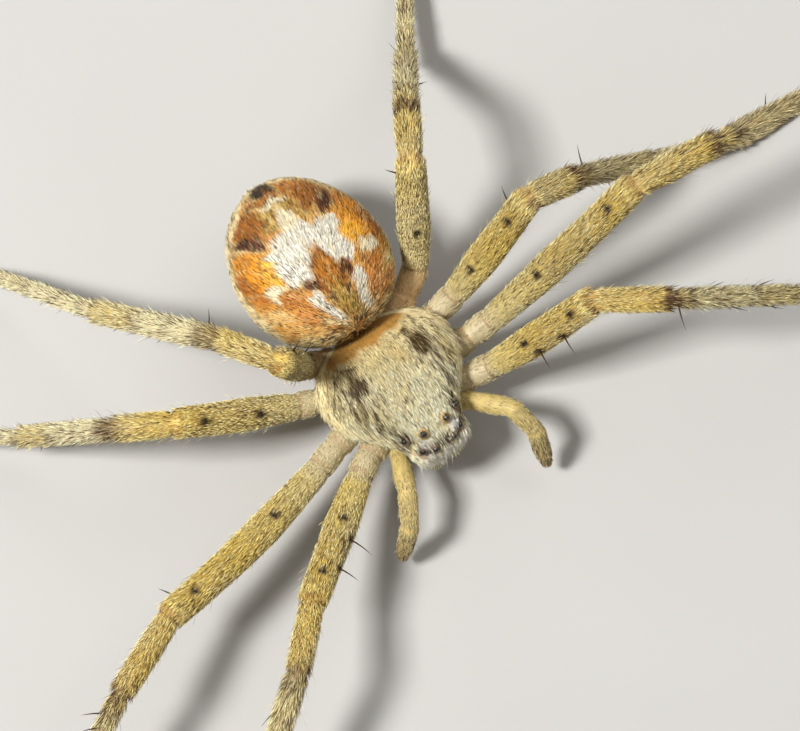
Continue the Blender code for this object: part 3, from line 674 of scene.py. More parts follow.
def paint_hind(points):
    """The same for the hind body."""
    x, y, z = (turned(points, -ABDOMEN_TURN, ABDOMEN_FRONT) - ABDOMEN_FRONT).T
    from_whorl = np.stack([x, y, z], axis=1) - WHORL
    way, far = np.arctan2(from_whorl[:, 0], from_whorl[:, 1]), np.linalg.norm(from_whorl, axis=1)
    fray = 0.07 * ripple(way * 30, far * 3, 4)
    side = np.abs(x - MIDLINE) + 0.5 * fray + 0.035 * ripple(x * 7, y * 7, 7)
    along = y + SHEAR * x + fray + 0.035 * ripple(x * 6, y * 8, 2)
    tint = np.tile(linear(AMBER), (len(x), 1))
    tint = over(tint, RUST, np.clip(ripple(x * 7, y * 5, 6) * 0.7 + 0.25, 0, 0.8))
    tint = over(tint, CREAM, np.clip(ripple(way * 18, far * 2.5, 9) * 0.9 + 0.05, 0, 0.8))
    white_share, dark_share = np.zeros(len(x)), np.zeros(len(x))
    for colour, middle, size, turn, soft, depth in HIND_MARKS:
        share = blot(side, along, middle, size, turn, soft) * depth
        tint = over(tint, colour, share)
        paler = share * (colour in (WHITE, BONE))
        white_share = white_share * (1 - share) + paler
        dark_share = dark_share * (1 - share) + share * (colour in (DARK_RED, SOOT))
    mottle = clamp(ripple(x * 21, y * 17, 15) * 1.4 - 0.35)
    tint = over(tint, CINNAMON, mottle * 0.55 * (1 - white_share))
    cream = clamp(ripple(way * 44, far * 5, 19) * 1.6 - 0.7)
    tint = over(tint, BUTTER, cream * 0.5)
    streaks = clamp(ripple(way * 40, far * 4, 11) * 1.8 - 0.45)
    tint = over(tint, SOOT, streaks * np.clip(1.2 - far, 0, 0.7))
    edge = 2.17 - 0.50 * clamp(1.1 - y) + 0.20 * clamp((y - 2.2) / 0.8)
    edge = edge + 0.05 * ripple(y * 6, x * 6, 14) + 0.05 * ripple(y * 21, x * 17, 22)
    low = clamp((edge - z) / 0.12) * (1 - blot(side, along, (0.02, 3.10), (0.26, 0.17)))
    dashes = clamp(ripple(y * 15, z * 11, 12) * 2 - 0.7)
    flank = np.tile(linear(FLANK_CREAM), (len(x), 1))
    flank = over(flank, FLANK_GREY, clamp((1.75 - z) / 0.4))
    flank = over(flank, SOOT, dashes * 0.7 * clamp((z - 0.8) / 0.3))
    tint = tint * (1 - low)[:, None] + flank * low[:, None]
    pale = over(over(tint * 1.22, STRAW_LIGHT, np.full(len(x), 0.05)), WHITE, white_share * 0.7)
    share = 0.18 + 0.4 * clamp(1.0 - far) - 0.11 * white_share + 0.35 * dark_share
    return tint, pale, np.clip(share, 0.05, 0.6), 1 - 0.4 * low


# Tints of palps and legs
PALP_CREAM, PALP_TIP = (188, 166, 102), (146, 108, 62)
HIP_CREAM, HIP_PEACH_AND_GLOW, OCHRE, STRAW = (182, 167, 131), (210, 174, 124), (176, 146, 64), (186, 156, 84)
SHADE_BROWN, FAIR_CREAM, SEAM_BROWN = (142, 104, 54), (216, 198, 146), (146, 108, 68)
JOINT_YELLOW, JOINT_RED, KNEE_YELLOW_HIGHLIGHT = (236, 214, 130), (148, 92, 38), (226, 196, 104)
RING_MAROON, SOCKET_BLACK = (84, 46, 28), (30, 18, 12)
LEG_GOLD, SHIN_IVORY = (232, 200, 94), (248, 232, 184)
# Brown blotches along a leg: mark, half length and depth
LEG_BLOTCHES = ((4.11, 0.14, 0.75), (4.36, 0.12, 0.45), (4.62, 0.12, 0.5), (4.98, 0.10, 0.7),
                (5.10, 0.12, 0.6), (5.38, 0.12, 0.4), (5.70, 0.12, 0.5), (5.98, 0.10, 0.6),
                (6.9, 0.22, 0.7))
# Tint of a leg past each mark, and how quickly it takes over
LEG_TINTS = ((2.06, 8, (190, 169, 106)), (2.36, 3, OCHRE), (3, 60, STRAW), (4, 60, (180, 158, 104)),
             (4.2, 9, (208, 184, 122)), (4.66, 20, (186, 156, 78)), (5, 60, (200, 178, 126)),
             (5.7, 12, (176, 150, 92)), (6, 60, (178, 156, 108)))
# Brightness of the lower legs against the rest, by leg
PALLOR = {"leg_right_3": 0.7, "leg_right_4": 0.55, "leg_left_1": 0.15, "leg_left_2": -0.25,
          "leg_left_3": -0.15}
# Fairness of the femurs, on the legs that have paler ones
FAIR = {"leg_left_4": 0.75, "leg_right_4": 0.85, "leg_right_3": 0.2}
# Depth of the dark ring below the knee and its place along the leg
RINGS = {"leg_left_1": (1.0, -0.04), "leg_left_2": (1.2, -0.06), "leg_left_3": (1.3, -0.08),
         "leg_left_4": (1.1, -0.22), "leg_right_1": (0.6, 0.0), "leg_right_2": (0.65, 0.02),
         "leg_right_3": (0.8, 0.0), "leg_right_4": (0.8, 0.0)}
# Depth of the bald yellow spot on top of the knee, where one shows: partly bare cuticle, partly a
# painted highlight
BALD_KNEE_HIGHLIGHTS = {"leg_right_4": 0.9, "leg_right_3": 0.6, "leg_left_4": 0.7}
# Dark sockets of the femoral spines: share of the femur and turn from its upper side
FEMUR_SPOTS = {
    "leg_left_1": ((0.42, 0.02), (0.86, 0.02), (0.46, 0.19), (0.68, 0.19)),
    "leg_left_2": ((0.375, 0.0), (0.86, 0.0)),
    "leg_left_3": ((0.32, 0.0), (0.81, 0.0)),
    "leg_left_4": ((0.42, 0.02),),
    "leg_right_1": ((0.40, 0.0), (0.82, 0.0), (0.50, 0.19), (0.72, 0.19)),
    "leg_right_2": ((0.34, 0.0), (0.86, 0.0)),
    "leg_right_3": ((0.37, 0.065), (0.82, 0.055)),
    "leg_right_4": ((0.35, 0.0), (0.82, 0.0)),
}


def paint_palp(s, mark, fine):
    """Tints, dark share and growth on a palp."""
    tint = over(np.tile(linear(PALP_CREAM), (len(s), 1)), UMBER, np.clip(fine * 1.5 - 1.1, 0, 0.5))
    tint = over(tint, PALP_TIP, clamp((mark - 3.2) / 0.8) * 0.7)
    pale = over(tint, PALE_BRISTLE, np.full(len(s), 0.35))
    return tint, pale, 0.06 + 0.2 * (mark > 3.3), np.clip((mark - 1.2) * 0.6, 0.2, 1)


def paint_limb(name, mark, turn, ahead):
    """The same for a leg or palp, read some way ahead along it."""
    marks, radii = limbs[name][4:]
    reach = reaches[name]

    def at(spot):
        """How far along the limb a mark lies."""
        return float(np.interp(spot, marks, reach))

    s = np.interp(mark, marks, reach) + ahead
    mark = np.interp(s, reach, marks)
    around = (turn + 0.5) % 1.0 - 0.5
    arc = around * 2 * math.pi * np.interp(mark, marks, radii)
    number = sorted(limbs).index(name)
    wave, fine = ripple(s * 3.0, arc * 6, number + 2), ripple(s * 11, arc * 19, number + 5)
    under = clamp(np.abs(around) * 4 - 1.1)
    if name.startswith("palp"):
        return paint_palp(s, mark, fine)
    # the hips of the hind legs are peach, partly their own colour and partly painted light shining
    # through their thin cuticle
    tint = np.tile(linear(HIP_PEACH_AND_GLOW if name.endswith("4") else HIP_CREAM), (len(s), 1))
    for first, quick, colour in LEG_TINTS:
        tint = over(tint, colour, clamp((mark - first) * quick + 0.5))
    shift = PALLOR.get(name, 0.0) * clamp((mark - 4.05) * 8)
    shift = shift * np.where(np.abs(mark - 4.82) < 0.18, 0.2, 1.0)
    tint = over(over(tint, BONE, clamp(shift)), SHADE_BROWN, clamp(-shift))
    fair = FAIR.get(name, 0.0) * clamp((3.05 - mark) * 2.2) * (mark > 2.0)
    tint = over(tint, FAIR_CREAM, fair)
    for joint in (1, 2):
        tint = over(tint, SEAM_BROWN, stripe(s - at(joint) + 0.012 * fine, 0.04) * 0.55)
    tint = over(tint, BONE, under * 0.4 * (mark > 2))
    smudge = np.clip(wave * 0.7 + fine * 0.6 - 0.5, 0, 0.5)
    tint = over(tint, UMBER, smudge * (mark > 2.1) * (1 - 0.6 * fair))
    patchy = np.clip(0.75 + 0.7 * ripple(s * 5, arc * 7, number + 21), 0.15, 1.2)
    blotches = np.zeros(len(s))
    for share, long, depth in LEG_BLOTCHES:
        off = np.abs(s - at(share) + 0.06 * fine)
        blotches = np.maximum(blotches, clamp(1.3 - off / long) * depth * patchy)
    tint = over(tint, UMBER, blotches)
    knee, shin = at(3), at(4)
    red = stripe(s - knee - 0.03 + 0.03 * fine, 0.05) * (0.45 + np.abs(around))
    yellow = stripe(s - knee + 0.10 + 0.03 * fine, 0.06)
    tint = over(over(tint, JOINT_YELLOW, yellow * 0.6), JOINT_RED, red * 0.8)
    # a bare yellow spot on top of the knee, partly a painted highlight
    bald_knee_highlight = blot(s, arc, (knee + 0.02, 0.0), (0.08, 0.08), soft=0.6) * BALD_KNEE_HIGHLIGHTS.get(name, 0.0)
    tint = over(tint, KNEE_YELLOW_HIGHLIGHT, bald_knee_highlight)
    depth, further = RINGS[name]
    ring = stripe(s - shin - 0.03 - further + 0.06 * fine, 0.12)
    ring = ring * clamp((0.9 + 0.4 * wave) * depth)
    tint = over(tint, RING_MAROON, ring * 0.9)
    dark = blotches * 0.45 + ring * 0.75
    clear = np.ones(len(s))
    for share, place in FEMUR_SPOTS[name]:
        far = np.hypot(s - at(2 + share), arc - place * 2 * math.pi * 0.28)
        spot = clamp(2.4 - far / 0.05) * (mark < 3)
        tint = over(tint, SOCKET_BLACK, spot)
        dark, clear = np.maximum(dark, spot), np.minimum(clear, clamp(far / 0.06 - 1.2))
    paler = 0.58 - 0.46 * clamp(dark * 1.3 + red) + 0.5 * np.clip(shift, -1, 0)
    pale = over(tint, PALE_BRISTLE, paler)
    golden = np.clip(ripple(s * 2.3, arc * 3, number + 9) * 0.5 + 0.35, 0, 0.8)
    pale = over(pale, LEG_GOLD, golden * (mark > 2.1) * (mark < 4.1) * (1 - fair) * (1 - dark))
    ivory = np.clip(0.3 + shift, 0, 0.8) * (mark > 4.2) * (1 - dark)
    pale = over(pale, SHIN_IVORY, ivory * (np.abs(mark - 4.84) > 0.16))
    growth = np.clip((mark - 1.3) * 1.4, 0.35, 1) * (1 - 0.2 * under) * clear * (1 - 0.8 * bald_knee_highlight)
    share = np.clip(0.15 + 0.05 * wave + dark * 0.6 - 0.1 * (mark < 2.15), 0.03, 0.9)
    return tint, pale, share, growth


# How far the beard and the shaggy lower legs stand off the skin
BEARD_LIFT, BEARD_LENGTH, SHIN_LIFT = 0.35, 0.03, 0.19
# Length of the bristles at marks along a leg, and on a palp
LENGTH_MARKS = (1, 2, 2.3, 4, 4.2, 5, 6, 7)
LEG_BRISTLES = (0.07, 0.09, 0.14, 0.16, 0.20, 0.18, 0.15, 0.11)
PALP_BRISTLE = 0.09
RIM_AMBER, RIM_BROWN, RIM_DARK, RIM_SPAN = (140, 96, 48), (110, 90, 68), (44, 28, 16), 0.16
# Small parts: tint, how thickly bristles grow there, their length and which way they lie
SMALL_PARTS = (
    ("rim", (176, 150, 100), 0.0, 0.05, (0, 0, 1)),
    ("jaw", (196, 166, 112), 0.7, 0.10, (0, -0.2, -1)),
    ("spinner", (180, 150, 98), 0.7, 0.08, (0, 1, 0)),
)
# How far along its limb each point of a path lies
reaches = {name: np.append(0.0, np.cumsum(np.linalg.norm(np.diff(limb[0], axis=0), axis=1)))
           for name, limb in limbs.items()}
skin_tint = np.tile(linear(CREAM), (count, 1))
grow, hair_length = np.zeros(count), np.full(count, 0.15)
lie = np.tile((0.0, -1.0, 0.0), (count, 1))

here = part_of == "front"
x, y, z = turned(spots[here], -HEAD_TURN).T
splay = 0.2 * np.sign(x) * clamp(np.abs(x) - 0.5)
lie[here] = np.stack([splay, -np.ones(len(x)), 0 * x], axis=1)
hair_length[here] = 0.17 - 0.06 * clamp(-y - 0.6)
here = part_of == "hind"
from_whorl = turned(spots[here], -ABDOMEN_TURN, ABDOMEN_FRONT) - ABDOMEN_FRONT - WHORL
lie[here] = turned(from_whorl, ABDOMEN_TURN)
hair_length[here] = 0.115 + 0.05 * clamp(1.2 - np.linalg.norm(from_whorl, axis=1))
for part, tint, growth, length, way in SMALL_PARTS:
    here = part_of == part
    skin_tint[here], grow[here], hair_length[here], lie[here] = linear(tint), growth, length, way
here = part_of == "rim"
far, amber = np.full(int(here.sum()), 9.0), np.zeros(int(here.sum()))
for kind, spot, way, radius in eye_spots:
    offset = turned(spots[here], -HEAD_TURN) - spot
    outward = np.linalg.norm(offset - np.outer(offset @ np.array(way), way), axis=1)
    close = np.linalg.norm(offset, axis=1) < RIM_SPAN
    far = np.where(close, np.minimum(far, outward / radius), far)
    if kind == "pme":
        amber = np.maximum(amber, close)
    else:
        skin_tint[np.flatnonzero(here)[close]] = linear(RIM_BROWN)
rim_tint = over(skin_tint[here], RIM_AMBER, clamp(2.2 - 1.4 * far) * amber)
skin_tint[here] = over(rim_tint, RIM_DARK, clamp(3.6 - 2.8 * far))
for name, limb in limbs.items():
    here = part_of == name
    mark, marks, ways = run_of[here], limb[4], limb[1]
    lie[here] = np.stack([np.interp(mark, marks, ways[:, i]) for i in range(3)], axis=1)
    is_leg = name.startswith("leg")
    hair_length[here] = np.interp(mark, LENGTH_MARKS, LEG_BRISTLES) if is_leg else PALP_BRISTLE
lie -= normals * np.sum(lie * normals, axis=1)[:, None]
lie /= np.maximum(np.linalg.norm(lie, axis=1), 1e-6)[:, None]
beard = clamp((-1.12 - turned(spots, -HEAD_TURN)[:, 1]) / 0.08)
beard *= np.isin(part_of, ("front", "jaw")) * clamp((1.80 - spots[:, 2]) / 0.15)
lie += normals * (beard * BEARD_LIFT)[:, None]
hair_length += beard * BEARD_LENGTH
shaggy = np.char.startswith(part_of, "leg") * clamp((run_of - 2.9) * 1.2)
lie += normals * (shaggy * SHIN_LIFT)[:, None]

PAINTED = (("front", paint_front), ("hind", paint_hind))
for part, paint in PAINTED:
    here = part_of == part
    skin_tint[here], grow[here] = paint(spots[here])[::3]
for name, limb in limbs.items():
    here = part_of == name
    mark, marks = run_of[here], limb[4]
    skin_tint[here], grow[here] = paint_limb(name, mark, turn_of[here], 0.0)[::3]
    for joint in range(2, int(marks[-1])):
        middle = float(np.interp(joint, marks, reaches[name]))
        far = np.abs(np.interp(mark, marks, reaches[name]) - middle)
        grow[here] *= np.clip(far / 0.05, 0.35, 1)
speck = ripple(spots[:, 0] * 23 + spots[:, 2] * 9, spots[:, 1] * 21 - spots[:, 2] * 7, 3)
skin_tint *= (1 + 0.10 * speck)[:, None]


def store(mesh, name, kind, values):
    """Writes an attribute of the mesh's points."""
    layer = mesh.attributes.new(name, kind, "POINT")
    if kind == "FLOAT_COLOR":
        values = np.concatenate([clamp(values), np.ones((len(values), 1))], axis=1)
    field = {"FLOAT": "value", "FLOAT_VECTOR": "vector", "FLOAT_COLOR": "color"}[kind]
    layer.data.foreach_set(field, np.ascontiguousarray(values, dtype=np.float32).ravel())


store(skin_mesh, "tint", "FLOAT_COLOR", skin_tint)
store(skin_mesh, "hair_length", "FLOAT", hair_length)
store(skin_mesh, "lie", "FLOAT_VECTOR", lie)
store(skin_mesh, "part", "FLOAT", owner.astype(float))
store(skin_mesh, "turn", "FLOAT", turn_of)
store(skin_mesh, "run", "FLOAT", run_of)


def feed(tree, node, inputs):
    """Sets inputs of a node, by name or number, to values or links them to outputs."""
    for key, value in inputs.items():
        if isinstance(value, bpy.types.NodeSocket):
            tree.links.new(value, node.inputs[key])
        else:
            node.inputs[key].default_value = value


def add(tree, kind, inputs=None, **settings):
    """A new node of a tree, with its settings and inputs."""
    node = tree.nodes.new(kind)
    for key, value in settings.items():
        setattr(node, key, value)
    feed(tree, node, inputs or {})
    return node


def new_material(name):
    """A material, its node tree and its principled shader."""
    material = bpy.data.materials.new(name)
    material.use_nodes = True
    return material, material.node_tree, material.node_tree.nodes["Principled BSDF"]


def noise(tree, scale, detail=2.0):
    """A fine noise laid out by the piece's own coordinates."""
    place = add(tree, "ShaderNodeTexCoord").outputs["Object"]
    inputs = {"Vector": place, "Scale": scale, "Detail": detail}
    return add(tree, "ShaderNodeTexNoise", inputs).outputs["Fac"]


def between(tree, factor, low, high):
    """A value that goes from low to high with a factor."""
    inputs = {"Value": factor, "To Min": low, "To Max": high}
    return add(tree, "ShaderNodeMapRange", inputs).outputs["Result"]


def relief(tree, height, strength, depth):
    """The slope of a fine relief whose full height is its depth in metres."""
    inputs = {"Height": height, "Strength": strength, "Distance": depth}
    return add(tree, "ShaderNodeBump", inputs).outputs["Normal"]


def two_tints(tree, factor, tints):
    """A mottle from one tint to the other."""
    ramp = add(tree, "ShaderNodeValToRGB", {"Fac": factor})
    for element, tint in zip(ramp.color_ramp.elements, tints):
        element.color = (*linear(tint), 1)
    return ramp.outputs["Color"]


# How far light of each colour wanders in the cuticle, in metres
LIGHT_DEPTH = (0.00012, 0.00007, 0.00003)


def tinted(name, rough, change, bump_scale, bump_depth, deep=0.0, shine=0.5):
    """Cuticle or bristle: its tint is an attribute, uneven in shade and gloss, with a
    fine relief read from the piece's own coordinates."""
    material, tree, shader = new_material(name)
    tint = add(tree, "ShaderNodeAttribute", attribute_name="tint").outputs["Color"]
    grain = noise(tree, bump_scale, 6.0)
    shade = between(tree, grain, 1 - change, 1 + change)
    mixed = add(tree, "ShaderNodeVectorMath", {0: tint, "Scale": shade}, operation="SCALE")
    feed(tree, shader, {
        "Base Color": mixed.outputs["Vector"],
        "Roughness": between(tree, grain, *rough),
        "Normal": relief(tree, grain, 0.5, bump_depth),
        "Specular IOR Level": shine,
        "Subsurface Weight": deep,
        "Subsurface Radius": LIGHT_DEPTH,
        "Subsurface Scale": 1.0,
    })
    return material


MILLIMETRE = 0.001
STAND_CENTRE = (0.0235, 0.6438, 0.0)


def settle(mesh):
    """Brings a mesh from millimetres about the spider to metres on its stand, and lays
    the tips of bristles under the feet flat on the floor."""
    shift = Matrix.Translation(-Vector(STAND_CENTRE))
    mesh.transform(Matrix.Scale(MILLIMETRE, 4) @ shift)
    places = read_points(mesh, "co")
    places[:, 2] = np.maximum(places[:, 2], 0.0)
    mesh.vertices.foreach_set("co", places.ravel())


def place_piece(name, mesh, material=None):
    """Makes a finished mesh a piece of the spider."""
    settle(mesh)
    if material:
        mesh.materials.clear()
        mesh.materials.append(material)
    mesh.shade_smooth()
    made = bpy.data.objects.new(name, mesh)
    bench.objects.link(made)
    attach(made, "root")
    return made


# Bristles: flat pointed hairs of cuticle, pale gold or dark, which lie along the skin
# like thatch. Each grows from the skin at a shallow angle and bows down to its tip.
HAIR_POINTS = 7
# Each bristle has a small patch of its own in the texture map, laid out from its tip
HAIR_PATCH = 0.003
HAIR_LAYOUT = ((0.5, 1), (0.2, 0.5), (0.5, 0.5), (0.8, 0.5), (0, 0), (0.5, 0), (1, 0))
# Brightness of a bristle at its tip, middle and root; the brighter tip is a painted highlight
HAIR_TONES_AND_TIP_HIGHLIGHT = (1.20, 1.04, 1.04, 1.04, 0.62, 0.62, 0.62)
# Name of each coat, the forms it grows on, bristles in a square millimetre and slot
COATS = (
    ("coat_front", ("front", "palp_left", "palp_right", "jaw"), 1150, "carapace"),
    ("coat_hind", ("hind", "spinner"), 740, "abdomen"),
    *(("coat_" + name, (name,), 900, "leg") for name in LEGS),
)


def bristle_nodes():
    """Node tree: bristles scattered over a skin, laid along its lie."""
    tree = bpy.data.node_groups.new("lying bristles", "GeometryNodeTree")
    kinds = (("Skin", "Geometry"), ("Bristles in a square millimetre", "Float"), ("Lift", "Float"),
             ("Stray", "Float"), ("Thickness", "Float"), ("Width", "Float"), ("Bow", "Float"),
             ("Longer", "Float"), ("Seed", "Int"), ("Finish", "Material"))
    for label, kind in kinds:
        tree.interface.new_socket(label, in_out="INPUT", socket_type="NodeSocket" + kind)
    tree.interface.new_socket("Bristles", in_out="OUTPUT", socket_type="NodeSocketGeometry")
    given = add(tree, "NodeGroupInput").outputs

    def named(name, kind="FLOAT"):
        node = add(tree, "GeometryNodeInputNamedAttribute", {"Name": name}, data_type=kind)
        return node.outputs["Attribute"]

    def spread(low, high, seed, kind="FLOAT"):
        first, out = (0, 0) if kind == "FLOAT_VECTOR" else (2, 1)
        inputs = {first: low, first + 1: high, "Seed": seed}
        return add(tree, "FunctionNodeRandomValue", inputs, data_type=kind).outputs[out]

    def vector(kind, a, b):
        second = "Scale" if kind == "SCALE" else 1
        return add(tree, "ShaderNodeVectorMath", {0: a, second: b}, operation=kind).outputs[0]

    def number(kind, a, b):
        return add(tree, "ShaderNodeMath", {0: a, 1: b}, operation=kind).outputs[0]

    dense = number("MULTIPLY", given["Bristles in a square millimetre"], named("grow"))
    scatter = add(tree, "GeometryNodeDistributePointsOnFaces", {
        "Mesh": given["Skin"],
        "Density": dense,
        "Seed": given["Seed"],
    }).outputs
    rare = number("MULTIPLY", number("POWER", spread(0.0, 1.0, 9), 40.0), given["Longer"])
    lift = number("ADD", given["Lift"], number("MULTIPLY", rare, 0.5))
    up = vector("SCALE", scatter["Normal"], lift)
    drift = vector("SCALE", spread((-1, -1, -0.3), (1, 1, 1), 3, "FLOAT_VECTOR"), given["Stray"])
    way = vector("ADD", vector("ADD", named("lie", "FLOAT_VECTOR"), up), drift)
    along = add(tree, "FunctionNodeAlignRotationToVector", {"Vector": way}, axis="Z")
    aims = {"Rotation": along.outputs["Rotation"], "Vector": scatter["Normal"]}
    flat = add(tree, "FunctionNodeAlignRotationToVector", aims, axis="X", pivot_axis="Z")
    cone = add(tree, "GeometryNodeMeshCone", {
        "Vertices": 3,
        "Side Segments": 2,
        "Radius Top": 0.0,
        "Radius Bottom": 1.0,
        "Depth": 1.0,
    })
    place = add(tree, "GeometryNodeInputPosition").outputs[0]
    parts = add(tree, "ShaderNodeSeparateXYZ", {0: place}).outputs
    height = parts["Z"]
    swell = number("ADD", number("MULTIPLY", height, 1.9), 0.6)
    arch = number("MULTIPLY", number("MULTIPLY", height, number("SUBTRACT", 1.0, height)),
                  number("MULTIPLY", given["Bow"], 4.0))
    shaped = add(tree, "ShaderNodeCombineXYZ", {
        "X": number("ADD", number("MULTIPLY", parts["X"], swell), arch),
        "Y": number("MULTIPLY", parts["Y"], swell),
        "Z": height,
    })
    blade = add(tree, "GeometryNodeSetPosition", {
        "Geometry": cone.outputs["Mesh"],
        "Position": shaped.outputs[0],
    })
    stretch = number("ADD", spread(0.65, 1.3, 7), rare)
    size = add(tree, "ShaderNodeCombineXYZ", {
        "X": given["Thickness"],
        "Y": number("MULTIPLY", given["Width"], spread(0.7, 1.2, 5)),
        "Z": number("MULTIPLY", named("hair_length"), stretch),
    })
    plant = add(tree, "GeometryNodeInstanceOnPoints", {
        "Points": scatter["Points"],
        "Instance": blade.outputs["Geometry"],
        "Rotation": flat.outputs["Rotation"],
        "Scale": size.outputs[0],
    })
    solid = add(tree, "GeometryNodeRealizeInstances", {"Geometry": plant.outputs["Instances"]})
    finish = {"Geometry": solid.outputs["Geometry"], "Material": given["Finish"]}
    dress = add(tree, "GeometryNodeSetMaterial", finish)
    add(tree, "NodeGroupOutput", {"Bristles": dress.outputs["Geometry"]})
    return tree


def grown(name, mesh, group, values):
    """Runs a node tree over a mesh once and keeps what it makes as a plain mesh."""
    maker = bpy.data.objects.new(name, mesh)
    bench.objects.link(maker)
    modifier = maker.modifiers.new(group.name, "NODES")
    modifier.node_group = group
    for socket in group.interface.items_tree:
        if socket.in_out == "INPUT" and socket.name in values:
            modifier[socket.identifier] = values[socket.name]
    return plain_mesh(maker, name)


def read(mesh, name, wide):
    """An attribute of the coat, read once for each bristle."""
    layer = mesh.attributes[name]
    values = np.empty(len(mesh.vertices) * wide, dtype=np.float32)
    layer.data.foreach_get("value" if wide == 1 else "vector", values)
    return values.reshape(-1, HAIR_POINTS, wide)[:, 0]


# How far ahead of its root a leg's bristle reads the skin, and how far aside any does
LEAP, ROOT_STRAY = 0.07, 0.012


def bristle_tints(coat, parts, run, turn):
    """Tint and share of dark ones for bristles. A bristle takes after the skin that its
    middle covers, give or take a little, so that the marks have ragged edges."""
    roots = read_points(coat, "co").reshape(-1, HAIR_POINTS, 3)[:, 4:].mean(axis=1)
    ahead = read(coat, "lie", 3) * read(coat, "hair_length", 1) * 0.5
    stray = chance.normal(0.0, 1.0, (len(roots), 1))
    places = roots + ahead * (1 + 0.5 * stray) + chance.normal(0.0, ROOT_STRAY, roots.shape)
    pale, share = np.tile(linear(PALE_BRISTLE), (len(roots), 1)), np.full(len(roots), 0.15)
    for part, paint in PAINTED:
        here = parts == part
        pale[here], share[here] = paint(places[here])[1:3]
    for part in limbs:
        here = parts == part
        leap = LEAP * (1 + 0.5 * stray[here, 0])
        pale[here], share[here] = paint_limb(part, run[here], turn[here], leap)[1:3]
    return pale, share


# How many pale bristles are whitened as painted glints, lighter than their skin, and by how much
GLINT_SHARE, GLINT_STRENGTH = 0.12, 0.5
# Least and greatest brightness of single bristles against the coat's own
SHADES = {"carapace": (0.72, 1.21), "abdomen": (0.72, 1.21), "leg": (0.58, 1.38)}
DARK_BRISTLE = {"carapace": (76, 58, 28), "abdomen": (44, 30, 14), "leg": (76, 48, 18)}
bristle_finish = tinted("bristle cuticle", (0.24, 0.46), 0.12, 30000.0, 0.000002, shine=0.5)
bristle_group = bristle_nodes()
chance = np.random.default_rng(29)
# Attributes of the skin that only its bristles need
SKIN_FIELDS = ("hair_length", "lie", "part", "turn", "run")
longest_run = np.array([part["run"].max() for part in shells])
for number, (name, members, dense, slot) in enumerate(COATS):
    source = skin_mesh.copy()
    store(source, "grow", "FLOAT", grow * np.isin(part_of, members))
    settings = {
        "Bristles in a square millimetre": float(dense), "Lift": 0.14, "Stray": 0.11,
        "Thickness": 0.004, "Width": 0.0072, "Bow": 1.8,
        "Longer": 0.5 if slot == "abdomen" else 1.0,
        "Seed": number + 11, "Finish": bristle_finish,
    }
    coat = grown(name, source, bristle_group, settings)
    bpy.data.meshes.remove(source)
    owners = np.rint(read(coat, "part", 1)[:, 0]).astype(int)
    run, turn = read(coat, "run", 1)[:, 0], read(coat, "turn", 1)[:, 0]
    pale, share = bristle_tints(coat, part_names[owners], run, turn)
    which = chance.random(len(pale)) < share
    # a random share of pale bristles is whitened as painted glints
    glints = (chance.random(len(pale)) < GLINT_SHARE) * GLINT_STRENGTH * ~which
    pale = over(pale, PALE_BRISTLE, glints * clamp(pale[:, 0] * 3))
    colour = np.where(which[:, None], linear(DARK_BRISTLE[slot]), pale)
    colour = colour * chance.uniform(*SHADES[slot], (len(pale), 1))
    # each bristle is brightened at its tip as a painted highlight and is darker at its root
    colour = colour[:, None] * np.array(HAIR_TONES_AND_TIP_HIGHLIGHT)[None, :, None]
    strips = sorted(members)
    strip = np.array([strips.index(n) if n in strips else 0 for n in part_names])[owners]
    root_u = (strip + 0.04 + 0.9 * turn) / len(strips)
    root_v = 0.02 + 0.95 * run / np.maximum(1.0, longest_run[owners])
    for old in list(coat.attributes):
        if old.name in (*SKIN_FIELDS, "grow", "tint"):
            coat.attributes.remove(coat.attributes[old.name])
    store(coat, "tint", "FLOAT_COLOR", colour.reshape(-1, 3))
    patch = np.array(HAIR_LAYOUT) * HAIR_PATCH
    uv = np.stack([root_u, root_v], axis=1)[:, None] + patch[None]
    corner = np.empty(len(coat.loops), dtype=np.int32)
    coat.loops.foreach_get("vertex_index", corner)
    layer = coat.uv_layers.new(name="OFBake")
    layer.data.foreach_set("uv", uv.reshape(-1, 2)[corner].astype(np.float32).ravel())
    place_piece(name, coat)

for name in SKIN_FIELDS:
    skin_mesh.attributes.remove(skin_mesh.attributes[name])
skin_finish = tinted("spider cuticle", (0.42, 0.62), 0.10, 16000.0, 0.000006, deep=0.15, shine=0.35)
skin = place_piece("skin", skin_mesh, skin_finish)
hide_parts("prosoma", "abdomen", "chelicera_left", "chelicera_right", *LEGS, *PALPS)

# Eyes: eight glossy black lenses of smooth hard cuticle, each set in its raised rim.
# The rims of the middle pair behind are amber, the other six brown.
LENS_SIDES, LENS_RINGS, LENS_STAND = 28, 10, 0.012
LENS_TINTS = ((10, 7, 6), (30, 18, 12))

shells.clear()
for kind, spot, way, radius in eye_spots:
    middle = spot + np.array(way) * LENS_STAND
    dome_shell("lens", middle, radius, way, count=LENS_RINGS, sides=LENS_SIDES)


def joined(parts, name):
    """One mesh of several closed shells, all facing outward."""
    work = bmesh.new()
    for part in parts:
        mesh = shell_mesh(part)
        work.from_mesh(mesh)
        bpy.data.meshes.remove(mesh)
    whole = bpy.data.meshes.new(name)
    work.to_mesh(whole)
    work.free()
    return whole


def glossy(name, tints, rough, coat):
    """Hard dark cuticle: two close tints in a fine mottle, under a clear gloss."""
    material, tree, shader = new_material(name)
    mottle = noise(tree, 12000.0)
    feed(tree, shader, {
        "Base Color": two_tints(tree, mottle, tints),
        "Normal": relief(tree, mottle, 0.15, 0.000001),
        "Roughness": rough,
        "Coat Weight": coat,
        "Coat Roughness": 0.03,
    })
    return material


lens_finish = glossy("eye lens", LENS_TINTS, 0.08, 0.8)
lenses = place_piece("eye_lenses", joined(shells, "lenses"), lens_finish)
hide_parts(*(f"eye_{kind}_{word}" for kind in EYES for word, side in SIDES))

